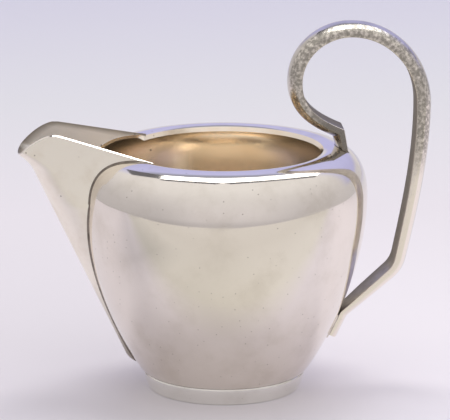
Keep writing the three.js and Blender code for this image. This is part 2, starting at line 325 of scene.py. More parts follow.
def mark_painted_shade(mesh: Mesh, values: Sequence[float]) -> None:
    """Marks how much painted shade each point of a mesh gets.

    Args:
        mesh: Mesh that gets the marks.
        values: Share of painted shade at each point, which is cut off below 0 and above 1.
    """
    marks = mesh.attributes.new(PAINTED_SHADE, "FLOAT", "POINT")
    marks.data.foreach_set("value", [min(max(value, 0.0), 1.0) for value in values])


def seat(piece: Piece, node: str) -> Piece:
    """Puts a finished piece on the frame in place of its CAD node.

    Args:
        piece: The finished piece.
        node: CAD node that it stands for.

    Returns:
        The same piece.
    """
    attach(piece, "root")
    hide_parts(node)
    return piece


# Node trees for the pieces that follow a rule


class GrowingTree:
    """Geometry node tree that lays a grid of points by a rule and dresses it."""

    def __init__(self, name: str, sizes: dict[str, str]) -> None:
        """Makes the tree with its named inputs.

        Args:
            name: Name of the tree.
            sizes: Socket type of each named input besides the line and the material.
        """
        self.group = bpy.data.node_groups.new(name, "GeometryNodeTree")
        self.node = partial(add_node, self.group)
        sockets = {"Line": "NodeSocketGeometry", **sizes, "Material": "NodeSocketMaterial"}
        for socket, kind in sockets.items():
            self.group.interface.new_socket(socket, in_out="INPUT", socket_type=kind)
        self.group.interface.new_socket("Piece", in_out="OUTPUT", socket_type="NodeSocketGeometry")
        self.entry = self.node("NodeGroupInput").outputs

    def cells(self, rows: Source, columns: Source) -> tuple[Node, Node, Node]:
        """Lays a grid and tells each of its points which row and column it is in.

        Args:
            rows: Number of rows.
            columns: Number of columns.

        Returns:
            The grid, and each point's row and column.
        """
        grid = self.node("GeometryNodeMeshGrid", {"Vertices X": rows, "Vertices Y": columns})
        index = self.node("GeometryNodeInputIndex")
        share = self.node("ShaderNodeMath", {0: index, 1: columns}, operation="DIVIDE")
        row = self.node("ShaderNodeMath", {0: share}, operation="FLOOR")
        column = self.node("ShaderNodeMath", {0: index, 1: columns}, operation="FLOORED_MODULO")
        return grid, row, column

    def finish(self, grid: Source, position: Source) -> None:
        """Moves the grid's points to their places, welds it and gives it its material.

        Args:
            grid: The grid.
            position: Place of each of its points.
        """
        placed = self.node("GeometryNodeSetPosition", {"Geometry": grid, "Position": position})
        welded = self.node("GeometryNodeMergeByDistance", {"Geometry": placed, "Distance": WELD})
        real = self.node("GeometryNodeRealizeInstances", {"Geometry": welded})
        inputs = {"Geometry": real, "Material": self.entry["Material"]}
        self.node("NodeGroupOutput", {"Piece": self.node("GeometryNodeSetMaterial", inputs)})

    def grow(self, line: Piece, inputs: Inputs) -> Piece:
        """Runs the tree on a line and leaves the result as the line's own plain mesh.

        Args:
            line: Object whose points the tree reads.
            inputs: Value of each named input.

        Returns:
            The same object, with its new mesh.
        """
        modifier = line.modifiers.new(self.group.name, "NODES")
        modifier.node_group = self.group
        for item in self.group.interface.items_tree:
            if item.in_out == "INPUT" and item.name in inputs:
                modifier[item.identifier] = inputs[item.name]
        bake_modifiers(line)
        line.data.materials.clear()  # the grid brings an empty first slot
        line.data.materials.append(inputs["Material"])
        tidy_mesh(line)
        return line


class TurningTree(GrowingTree):
    """Turns a profile of (radius, height) points round the Z axis."""

    def __init__(self) -> None:
        """Builds the tree: each column of the grid is the profile at its own angle."""
        super().__init__("Turn profile round axis", {"Steps": "NodeSocketInt"})
        line, steps = self.entry["Line"], self.entry["Steps"]
        points = self.node("GeometryNodeAttributeDomainSize", {"Geometry": line}).outputs["Point Count"]
        columns = self.node("ShaderNodeMath", {0: steps, 1: 1.0}, operation="ADD")
        grid, row, column = self.cells(points, columns)
        inputs = {"Geometry": line, "Value": self.node("GeometryNodeInputPosition"), "Index": row}
        point = self.node("GeometryNodeSampleIndex", inputs, data_type="FLOAT_VECTOR")
        profile = self.node("ShaderNodeSeparateXYZ", {0: point}).outputs
        share = self.node("ShaderNodeMath", {0: column, 1: steps}, operation="DIVIDE")
        turn = self.node("ShaderNodeMath", {0: share, 1: math.tau}, operation="MULTIPLY")
        ends = {"Z": profile["Z"]}
        for axis, wave in (("X", "COSINE"), ("Y", "SINE")):
            swing = self.node("ShaderNodeMath", {0: turn}, operation=wave)
            ends[axis] = self.node("ShaderNodeMath", {0: profile["X"], 1: swing}, operation="MULTIPLY")
        self.finish(grid, self.node("ShaderNodeCombineXYZ", ends))

    def turn(self, name: str, outline: Sequence[Point], steps: int, material: Material) -> Piece:
        """Makes a piece by turning an outline.

        Args:
            name: Name of the new piece.
            outline: Radius and height of each of its points.
            steps: Number of steps round the axis.
            material: Finish of the piece.

        Returns:
            The new piece.
        """
        line = link_line(name, [(radius, 0, height) for radius, height in outline])
        return self.grow(line, {"Steps": steps, "Material": material})


class SweepTree(GrowingTree):
    """Carries a flat section along a line whose points hold the section's two axes."""

    ACROSS = "across"
    RISE = "rise"

    def __init__(self) -> None:
        """Builds the tree: each row of the grid is the section in the axes of its own point."""
        super().__init__("Carry section along line", {"Section": "NodeSocketObject"})
        line = self.entry["Line"]
        inputs = {"Object": self.entry["Section"]}
        section = self.node("GeometryNodeObjectInfo", inputs).outputs["Geometry"]
        counts = [self.node("GeometryNodeAttributeDomainSize", {"Geometry": source}).outputs["Point Count"]
                  for source in (line, section)]
        grid, row, column = self.cells(*counts)
        place = self.node("GeometryNodeInputPosition")
        axes = [self.node("GeometryNodeInputNamedAttribute", {"Name": name}, data_type="FLOAT_VECTOR")
                for name in (self.ACROSS, self.RISE)]
        read = []
        for source, value, index in (
            (section, place, column), (line, place, row), (line, axes[0], row), (line, axes[1], row),
        ):
            inputs = {"Geometry": source, "Value": value, "Index": index}
            read.append(self.node("GeometryNodeSampleIndex", inputs, data_type="FLOAT_VECTOR"))
        outline, position, across, rise = read
        amounts = self.node("ShaderNodeSeparateXYZ", {0: outline}).outputs
        for axis, amount in ((across, amounts["X"]), (rise, amounts["Y"])):
            shift = self.node("ShaderNodeVectorMath", {0: axis, "Scale": amount}, operation="SCALE")
            position = self.node("ShaderNodeVectorMath", {0: position, 1: shift}, operation="ADD")
        self.finish(grid, position)

    def sweep(self, name: str, rows: Sequence[Row], outline: Sequence[Point], material: Material) -> Piece:
        """Makes a piece by carrying an outline along rows.

        Args:
            name: Name of the new piece.
            rows: Place, across axis and rise axis of each row.
            outline: The section in shares of those axes, its first point repeated last.
            material: Finish of the piece.

        Returns:
            The new piece.
        """
        line = link_line(name, [place for place, _, _ in rows])
        for column, key in ((1, self.ACROSS), (2, self.RISE)):
            attribute = line.data.attributes.new(key, "FLOAT_VECTOR", "POINT")
            attribute.data.foreach_set("vector", [value for row in rows for value in row[column]])
        section = link_line(name + "_section", [(x, y, 0) for x, y in outline])
        self.grow(line, {"Section": section, "Material": material})
        bpy.data.objects.remove(section)
        return line


# Finishes

CLOUD_DETAIL = 5.0
CLOUD_BREAK_UP = 0.6
PIT_EDGE = 0.13  # share of a cell at which a pit begins
PIT_CENTRE = 0.05
PIT_DEPTH = 0.02 * MM
SCRATCH_WIDTH = 0.35 * MM  # drawn coarser than the real hairlines, which would not show
SCRATCH_LENGTH = 16 * MM
SCRATCH_TURNS = ((0.0, 0.5, 0.3), (0.2, -0.7, 1.2))
SCRATCH_DETAIL = 2.0
SCRATCH_SHARE = (0.6, 0.75)  # noise values between which a scratch comes in
SCRATCH_ROUGHNESS = 0.02
RIPPLE_DETAIL = 1.0


@dataclass(frozen=True)
class MetalFinish:
    """A metal surface: its own colour, a duller one in clouds, hairline scratches, pits, ripples and painted
    shade where marked.
    """

    name: str
    colour: str
    dull_colour: str
    roughness: float
    dull_roughness: float
    cloud_size: float  # width of the dull clouds
    pit_spacing: float
    pit_share: float  # share of the pits' places that hold one
    ripple_size: float
    ripple_height: float
    cloud_share: tuple[float, float] = (0.4, 0.75)  # noise values between which the cloud comes in
    cloud_heights: tuple[float, float] = (-1.0, -0.9)  # where the clouds begin and are at full strength
    pit_colour: str = "#7A736A"
    painted_shade_colour: str | None = None  # colour of the painted shade where the piece is marked for it
    grazing_colour: str = "#FFFFFF"  # reflection at a grazing angle
    brushed: float = 0.0  # how far level brush lines draw reflections out upwards and downwards

    def material(self) -> Material:
        """Builds the material's nodes.

        Returns:
            The new material.
        """
        material = empty_material(self.name)
        tree = material.node_tree
        place = add_node(tree, "ShaderNodeTexCoord").outputs["Object"]
        cloud, pits = self.cloud(tree, place), self.pits(tree, place)
        colour = mix_stops(tree, cloud, ((0.0, self.colour), (1.0, self.dull_colour)))
        layers = [(pits, self.pit_colour)]
        # darken with painted shade where the mesh is marked for it
        if self.painted_shade_colour:
            marked_shade = add_node(tree, "ShaderNodeAttribute", attribute_name=PAINTED_SHADE).outputs["Fac"]
            layers.append((marked_shade, self.painted_shade_colour))
        for share, shade in layers:
            inputs = {MIX_FACTOR: share, MIX_FIRST: colour, MIX_SECOND: linear(shade)}
            colour = add_node(tree, "ShaderNodeMix", inputs, data_type="RGBA").outputs[MIX_RESULT]
        dulled = add_node(tree, "ShaderNodeMapRange", {0: cloud, 3: self.roughness, 4: self.dull_roughness})
        inputs = {0: self.scratches(tree, place), 1: SCRATCH_ROUGHNESS, 2: dulled}
        rough = add_node(tree, "ShaderNodeMath", inputs, operation="MULTIPLY_ADD")
        shader = add_node(tree, "ShaderNodeBsdfPrincipled", {
            "Base Color": colour, "Metallic": 1.0, "Roughness": rough,
            "Specular Tint": linear(self.grazing_colour), "Normal": self.relief(tree, place, pits),
            "Anisotropic": self.brushed, "Tangent": add_node(tree, "ShaderNodeCombineXYZ", {"Z": 1.0}),
        })
        add_node(tree, "ShaderNodeOutputMaterial", {"Surface": shader})
        return material

    def cloud(self, tree: Tree, place: Source) -> Node:
        """Works out the share of the dull cloud at each place.

        Args:
            tree: Tree of the material.
            place: Place on the piece.

        Returns:
            Node of the share.
        """
        inputs = {"Vector": place, "Scale": 1 / self.cloud_size, "Detail": CLOUD_DETAIL}
        noise = add_node(tree, "ShaderNodeTexNoise", {**inputs, "Roughness": CLOUD_BREAK_UP})
        height = add_node(tree, "ShaderNodeSeparateXYZ", {0: place}).outputs["Z"]
        shares = {}
        for key, value, (low, high) in ((0, noise, self.cloud_share), (1, height, self.cloud_heights)):
            inputs = {0: value, 1: low, 2: high}
            shares[key] = add_node(tree, "ShaderNodeMapRange", inputs, interpolation_type="SMOOTHSTEP")
        return add_node(tree, "ShaderNodeMath", shares, operation="MULTIPLY")

    def pits(self, tree: Tree, place: Source) -> Node:
        """Works out where the pits lie: small round spots in some cells of a scattered pattern.

        Args:
            tree: Tree of the material.
            place: Place on the piece.

        Returns:
            Node of the share.
        """
        inputs = {"Vector": place, "Scale": 1 / self.pit_spacing}
        cells = add_node(tree, "ShaderNodeTexVoronoi", inputs).outputs
        spot = add_node(tree, "ShaderNodeMapRange", {0: cells["Distance"], 1: PIT_EDGE, 2: PIT_CENTRE})
        pick = add_node(tree, "ShaderNodeSeparateColor", {0: cells["Color"]})
        kept = add_node(tree, "ShaderNodeMath", {0: pick, 1: self.pit_share}, operation="LESS_THAN")
        return add_node(tree, "ShaderNodeMath", {0: spot, 1: kept}, operation="MULTIPLY")

    @staticmethod
    def scratches(tree: Tree, place: Source) -> Node:
        """Works out the share of hairline scratches at each place, in two crossing directions.

        Args:
            tree: Tree of the material.
            place: Place on the piece.

        Returns:
            Node of the share.
        """
        total = 0.0
        low, high = SCRATCH_SHARE
        for turn in SCRATCH_TURNS:
            scale = (1 / SCRATCH_WIDTH, 1 / SCRATCH_LENGTH, 1 / SCRATCH_LENGTH)
            drawn = add_node(tree, "ShaderNodeMapping", {"Vector": place, "Rotation": turn, "Scale": scale})
            inputs = {"Vector": drawn, "Scale": 1.0, "Detail": SCRATCH_DETAIL}
            noise = add_node(tree, "ShaderNodeTexNoise", inputs)
            line = add_node(tree, "ShaderNodeMapRange", {0: noise, 1: low, 2: high})
            total = add_node(tree, "ShaderNodeMath", {0: line, 1: total}, operation="ADD")
        return total

    def relief(self, tree: Tree, place: Source, pits: Source) -> Node:
        """Works out the normal of the surface with its slow ripples and its pits.

        Args:
            tree: Tree of the material.
            place: Place on the piece.
            pits: Share of a pit at each place.

        Returns:
            Node of the normal.
        """
        inputs = {"Vector": place, "Scale": 1 / self.ripple_size, "Detail": RIPPLE_DETAIL}
        noise = add_node(tree, "ShaderNodeTexNoise", inputs)
        inputs = {"Height": noise, "Distance": self.ripple_height, "Strength": 1.0}
        rippled = add_node(tree, "ShaderNodeBump", inputs)
        inputs = {"Height": pits, "Distance": PIT_DEPTH, "Strength": 1.0, "Normal": rippled}
        return add_node(tree, "ShaderNodeBump", inputs, invert=True)


# Sterling silver, spun and polished: a warm mirror, softened by years of rubbing.
POLISHED_SILVER = MetalFinish(
    name="sterling_silver_polished", colour="#EFE8DE", dull_colour="#E2DACE", pit_colour="#A39B91",
    roughness=0.07, dull_roughness=0.15, cloud_size=12 * MM, cloud_share=(0.42, 0.78),
    pit_spacing=1.6 * MM, pit_share=0.3, ripple_size=9 * MM, ripple_height=0.03 * MM,
)

# The same silver, turned on a lathe for the foot, and painted paler there as painted light that lifts the
# shade it picks up from the table around its base.
LIGHTENED_FOOT_SILVER = replace(
    POLISHED_SILVER, name="sterling_silver_foot_painted_light", colour="#F6F5EF", dull_colour="#EAE8E1",
)

# Sterling silver, folded and rubbed with fine grit: the spout's pale outside, with painted shade that
# darkens its tail where it runs into the corner against the bowl.
SATIN_SILVER = MetalFinish(
    name="sterling_silver_satin", colour="#FFF9EC", dull_colour="#F6EEDF", pit_colour="#B5ADA2",
    painted_shade_colour="#B8B1A6", roughness=0.34, dull_roughness=0.4, cloud_size=7 * MM,
    pit_spacing=2.4 * MM, pit_share=0.12, ripple_size=7 * MM, ripple_height=0.03 * MM,
)

# Sterling silver, brushed along the spout's inside: a blurred pale grey of sky and bowl, with a painted dark
# reflection in a band just below the lip.
BRUSHED_SILVER = MetalFinish(
    name="sterling_silver_brushed", colour="#FFFCF7", dull_colour="#F4EFE8", painted_shade_colour="#A39C92",
    brushed=0.95, roughness=0.38, dull_roughness=0.44, cloud_size=9 * MM,
    pit_spacing=2.4 * MM, pit_share=0.15, ripple_size=5 * MM, ripple_height=0.04 * MM,
)

# Fire gilding over silver, burnished: a soft gold mirror that wears brown where the cream runs out.
BURNISHED_GILDING = MetalFinish(
    name="gilding_burnished", colour="#FFF4E2", dull_colour="#FAE8CF",
    roughness=0.19, dull_roughness=0.26, cloud_size=15 * MM,
    pit_spacing=3.1 * MM, pit_share=0.1, ripple_size=12 * MM, ripple_height=0.05 * MM,
)

# Sterling silver, forged and bent to a strap: the loop's sides are mottled grey by handling, and painted
# shade darkens the post towards its foot on the shoulder.
WORN_SHADED_SILVER = MetalFinish(
    name="sterling_silver_forged_worn_painted_shade", colour="#F4ECDF", dull_colour="#A09B91", pit_colour="#6C685F",
    painted_shade_colour="#8A857D", roughness=0.14, dull_roughness=0.32, cloud_size=1.0 * MM,
    cloud_share=(0.28, 0.62), cloud_heights=(58 * MM, 70 * MM),
    pit_spacing=0.6 * MM, pit_share=0.35, ripple_size=3 * MM, ripple_height=0.05 * MM,
)

# The same strap on its crowned outer face: smoother where a thumb rubs it, and darker than the sides as
# painted shade that dims its highlight.
BUFFED_SHADED_SILVER = MetalFinish(
    name="sterling_silver_forged_buffed_painted_shade", colour="#D5CFC6", dull_colour="#BEB8AE",
    roughness=0.09, dull_roughness=0.16, cloud_size=6 * MM, cloud_share=(0.42, 0.75),
    pit_spacing=1.6 * MM, pit_share=0.15, ripple_size=6 * MM, ripple_height=0.03 * MM,
)

# The same strap on its flat inside, which faces the bowl: darker as painted shade, darkest at a grazing
# angle.
SHADED_INSIDE_SILVER = MetalFinish(
    name="sterling_silver_forged_inside_painted_shade", colour="#E0DAD1", dull_colour="#CBC5BB",
    grazing_colour="#716C63", roughness=0.28, dull_roughness=0.36, cloud_size=3 * MM, cloud_share=(0.4, 0.7),
    pit_spacing=1.1 * MM, pit_share=0.25, ripple_size=4 * MM, ripple_height=0.04 * MM,
)

# Silver solder, run in with a torch and left satin, and painted dark as the shade in each seam's crease: a
# dark, soft line along each seam.
SHADED_SOLDER = MetalFinish(
    name="silver_solder_painted_shade", colour="#8C8378", dull_colour="#6F675D",
    roughness=0.3, dull_roughness=0.42, cloud_size=2.5 * MM, cloud_share=(0.4, 0.7),
    pit_spacing=0.9 * MM, pit_share=0.3, ripple_size=1.5 * MM, ripple_height=0.03 * MM,
)

# The same solder where the handle's tail was rubbed down with the bowl: bright, so that no line shows.
BUFFED_SOLDER = replace(
    SHADED_SOLDER, name="silver_solder_buffed", colour="#E6DED2", dull_colour="#D3CABC",
    roughness=0.12, dull_roughness=0.2, pit_share=0.2, ripple_size=2 * MM, ripple_height=0.02 * MM,
)


# The jug's pieces


@dataclass
class Bowl:
    """Spun bowl: flat base, full belly, in-turned shoulder, and the pouring window behind the spout."""

    belly_radius: float
    rim_height: float
    base_radius: float
    base_height: float
    wall: float = 0.8 * MM
    base_sweep: float = 1.4 * MM
    belly_height: float = 55 * MM
    belly_fullness: float = 24.8 * MM
    shoulder_rise: float = 8.8 * MM
    shoulder_span: float = 6.2 * MM
    shoulder_width: float = 10.25 * MM
    lip_width: float = 2.3 * MM
    lip_drop: float = 0.6 * MM
    rim_inset: float = 0.3 * MM  # lower edge of the rim's bevel, inside the mouth
    rim_depth: float = 1.1 * MM  # and below it
    rim_run: int = 4  # steps of the inner wall over which the rim thins to the sheet
    curve_steps: int = 44
    lip_steps: int = 8
    turn_steps: int = 288
    crest: Vector = field(init=False)  # where the shoulder turns level
    mouth: Vector = field(init=False)
    profile: list[Vector] = field(init=False)
    crest_index: int = field(init=False)  # number of the crest's point in the profile

    def __post_init__(self) -> None:
        """Works out the outer profile, from the edge of the flat base up to the mouth."""
        belly = Vector((self.belly_radius, self.belly_height))
        self.crest = Vector((self.belly_radius - self.shoulder_width, self.rim_height))
        self.mouth = Vector((self.crest.x - self.lip_width, self.rim_height - self.lip_drop))
        side = curve_points([
            (self.base_radius, self.base_height),
            (self.base_radius + self.base_sweep, self.base_height),
            belly - Vector((0, self.belly_fullness)),
            belly,
        ], self.curve_steps)
        shoulder = curve_points([
            belly,
            belly + Vector((0, self.shoulder_rise)),
            self.crest + Vector((self.shoulder_span, 0)),
            self.crest,
        ], self.curve_steps)
        turn_in = ((self.crest.x + self.mouth.x) / 2, self.rim_height)
        lip = curve_points([self.crest, turn_in, self.mouth], self.lip_steps)
        self.profile = [*side, *shoulder[1:], *lip[1:]]
        self.crest_index = len(side) + len(shoulder) - 2

    @classmethod
    def from_frame(cls) -> "Bowl":
        """Takes the bowl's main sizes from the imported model.

        Returns:
            The bowl, not yet built.
        """
        low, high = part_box("bowl")
        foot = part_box("foot_ring")[1]
        return cls(belly_radius=high.y, rim_height=high.z, base_radius=foot.x, base_height=low.z)

    def radius_at(self, height: float) -> float:
        """Outer radius at a height up to the crest."""
        side = self.profile[:self.crest_index + 1]
        return float(np.interp(height, [p.y for p in side], [p.x for p in side]))

    def cover_at(self, radius: float) -> float:
        """Height of the shoulder and lip over a radius between the mouth and the belly."""
        cover = self.profile[self.curve_steps:][::-1]
        return float(np.interp(radius, [p.x for p in cover], [p.y for p in cover]))

    def clearance(self, point: Vector) -> float:
        """Measures how far a point lies outside the bowl, over the mouth upwards and elsewhere sideways.

        Args:
            point: The point in the frame.

        Returns:
            The distance, below 0 for a point inside.
        """
        reach = math.hypot(point.x, point.y)
        if reach < self.crest.x and point.z > self.belly_height:
            return point.z - self.cover_at(reach)
        return reach - self.radius_at(point.z)

    def normal_at(self, point: Vector) -> Vector:
        """Finds the outward direction of the bowl's surface at the place nearest to a point.

        Args:
            point: The point in the frame.

        Returns:
            The direction, of length 1.
        """
        reach = math.hypot(point.x, point.y)
        flat = Vector((reach, point.z))
        nearest = min(range(1, len(self.profile) - 1), key=lambda k: (self.profile[k] - flat).length)
        along = self.profile[nearest + 1] - self.profile[nearest - 1]
        out = Vector((along.y, -along.x)).normalized()
        return Vector((out.x * point.x / reach, out.x * point.y / reach, out.y))

    def outline(self) -> list[Point]:
        """Draws the shell: under the base, up the outside, over the bevelled rim and down the inside.

        Returns:
            Radius and height of each point.
        """
        inside = offset_line(self.profile, [self.wall] * len(self.profile))
        edge = self.mouth - Vector((self.rim_inset, self.rim_depth))
        under, floor = (0, self.base_height), (0, inside[0].y)
        return [under, *self.profile[:-1], edge, *inside[-self.rim_run::-1], floor]

    def build(self, turning: TurningTree, window: Piece, in_channel: Callable[[Vector], bool]) -> Piece:
        """Turns the shell, cuts the pouring window and gilds the inside.

        Args:
            turning: Tree that turns a profile.
            window: Solid that cuts the window, which is used up.
            in_channel: Test of whether a point lies in the spout's channel.

        Returns:
            The finished bowl.
        """
        piece = turning.turn("spun_bowl", self.outline(), self.turn_steps, POLISHED_SILVER.material())
        cut_away(piece, window)
        piece.data.materials.append(BURNISHED_GILDING.material())
        self.gild(piece.data, in_channel)
        return seat(piece, "bowl")

    def trim(self, piece: Piece, turning: TurningTree, sink: float, material: Material) -> None:
        """Cuts off what a piece would have inside the bowl.

        Args:
            piece: Piece that is to be soldered on.
            turning: Tree that turns a profile.
            sink: Depth that it keeps in the bowl's wall.
            material: Finish of the cut.
        """
        inside = offset_line(self.profile, [sink] * len(self.profile))
        outline = [(0, inside[0].y), *inside, (0, inside[-1].y)]
        cut_away(piece, turning.turn("bowl_core", outline, self.turn_steps, material))

    def gild(self, mesh: Mesh, in_channel: Callable[[Vector], bool]) -> None:
        """Gives the gilding to every face inside the bowl or the spout, and to the window's cut edge.

        Args:
            mesh: The bowl's mesh, whose second material is the gilding.
            in_channel: Test of whether a point lies in the spout's channel.
        """
        skin = self.wall / 10  # a face nearer than this to the outer surface is part of it
        for face in mesh.polygons:
            depth = -self.clearance(face.center)
            inside = depth > self.wall / 2 or in_channel(face.center)
            if not inside and depth > skin and math.hypot(face.center.x, face.center.y) > self.mouth.x:
                inside = abs(face.normal.dot(self.normal_at(face.center))) < CUT_EDGE
            on_base = face.center.z < self.base_height + self.wall / 2
            face.material_index = 1 if inside and not on_base else 0


@dataclass
class Foot:
    """Turned ring that the bowl stands on, with a fine groove under the bowl and solder inside."""

    top_radius: float
    height: float
    undercut: float = 1.1 * MM
    thickness: float = 2.2 * MM
    rounding: float = 0.5 * MM
    groove: float = 0.45 * MM
    fillet: float = 1.1 * MM
    fillet_hollow: float = 0.25  # middle of the fillet's hollow face, as a share of its reach
    curve_steps: int = 10
    turn_steps: int = 192

    @classmethod
    def from_frame(cls) -> "Foot":
        """Takes the ring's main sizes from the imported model."""
        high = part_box("foot_ring")[1]
        return cls(top_radius=high.x, height=high.z)

    def build(self, turning: TurningTree) -> list[Piece]:
        """Turns the ring and the fillet of solder in the corner behind it.

        Args:
            turning: Tree that turns a profile.

        Returns:
            The ring and its solder.
        """
        top, base = self.top_radius, self.top_radius - self.undercut
        inner, neck = base - self.thickness, self.height - self.groove
        corner = [(base - self.rounding, 0), (base, 0), (base, self.rounding)]
        side = [corner[-1], (top, self.height / 2), (top, neck)]
        ring = [
            (inner, 0),
            *curve_points(corner, self.curve_steps),
            *curve_points(side, self.curve_steps)[1:],
            (top - self.groove, neck),
            (top - self.groove, self.height),
            (inner, self.height),
            (inner, 0),
        ]
        middle = self.fillet * self.fillet_hollow
        hollow = [
            (inner, self.height - self.fillet),
            (inner - middle, self.height - middle),
            (inner - self.fillet, self.height),
        ]
        solder = [*curve_points(hollow, self.curve_steps), (inner, self.height), hollow[0]]
        pieces = []
        for name, node, slot, finish, outline in (
            ("turned_foot", "foot_ring", Slot.SILVER, LIGHTENED_FOOT_SILVER, ring),
            ("foot_fillet", "foot_solder", Slot.SOLDER, SHADED_SOLDER, solder),
        ):
            piece = turning.turn(name, outline, self.turn_steps, finish.material())
            pieces.append(seat(piece, node))
        return pieces


@dataclass(frozen=True)
class Fillet:
    """Solder run along a seam, in the corner between the bowl and a piece that stands on it."""

    name: str
    node: str
    reach: float  # along the bowl, and up the other piece
    finish: MetalFinish = SHADED_SOLDER
    hollow: float = 0.18  # middle of its hollow face, as a share of the reach
    sink: float = 0.3  # depth of its back under the two surfaces, likewise
    curve_steps: int = 6

    def outline(self) -> list[Point]:
        """Draws the fillet's section, hollow outside.

        Returns:
            Its points, in shares of the reach along the bowl and up the piece.
        """
        face = curve_points([(1, 0), (self.hollow, self.hollow), (0, 1)], self.curve_steps)
        back = [(-self.sink, 1), (-self.sink, -self.sink), (1, -self.sink)]
        return [*face, *back, face[0]]

    def rows(self, bowl: Bowl, seam: Sequence[Vector], rises: Sequence[Vector], away: Vector) -> list[Row]:
        """Sets out the fillet's section along the seam.

        Args:
            bowl: Bowl that the seam lies on.
            seam: Points of the seam, whose first point is repeated last if it closes.
            rises: Direction up the other piece at each point.
            away: Rough direction along the bowl away from the piece, at the first point.

        Returns:
            Place, across axis and rise axis of each row.
        """
        closed = (seam[0] - seam[-1]).length < WELD
        last = len(seam) - 1
        rows, sign = [], 0
        for k, point in enumerate(seam):
            before = seam[last - 1 if closed else 0] if k == 0 else seam[k - 1]
            after = seam[1 if closed else last] if k == last else seam[k + 1]
            across = bowl.normal_at(point).cross(after - before).normalized()
            sign = sign or math.copysign(1, across.dot(away))
            rows.append((point, across * sign * self.reach, rises[k].normalized() * self.reach))
        return rows

    def build(self, sweeping: SweepTree, rows: Sequence[Row]) -> Piece:
        """Carries the section along its rows."""
        piece = sweeping.sweep(self.name, rows, self.outline(), self.finish.material())
        return seat(piece, self.node)


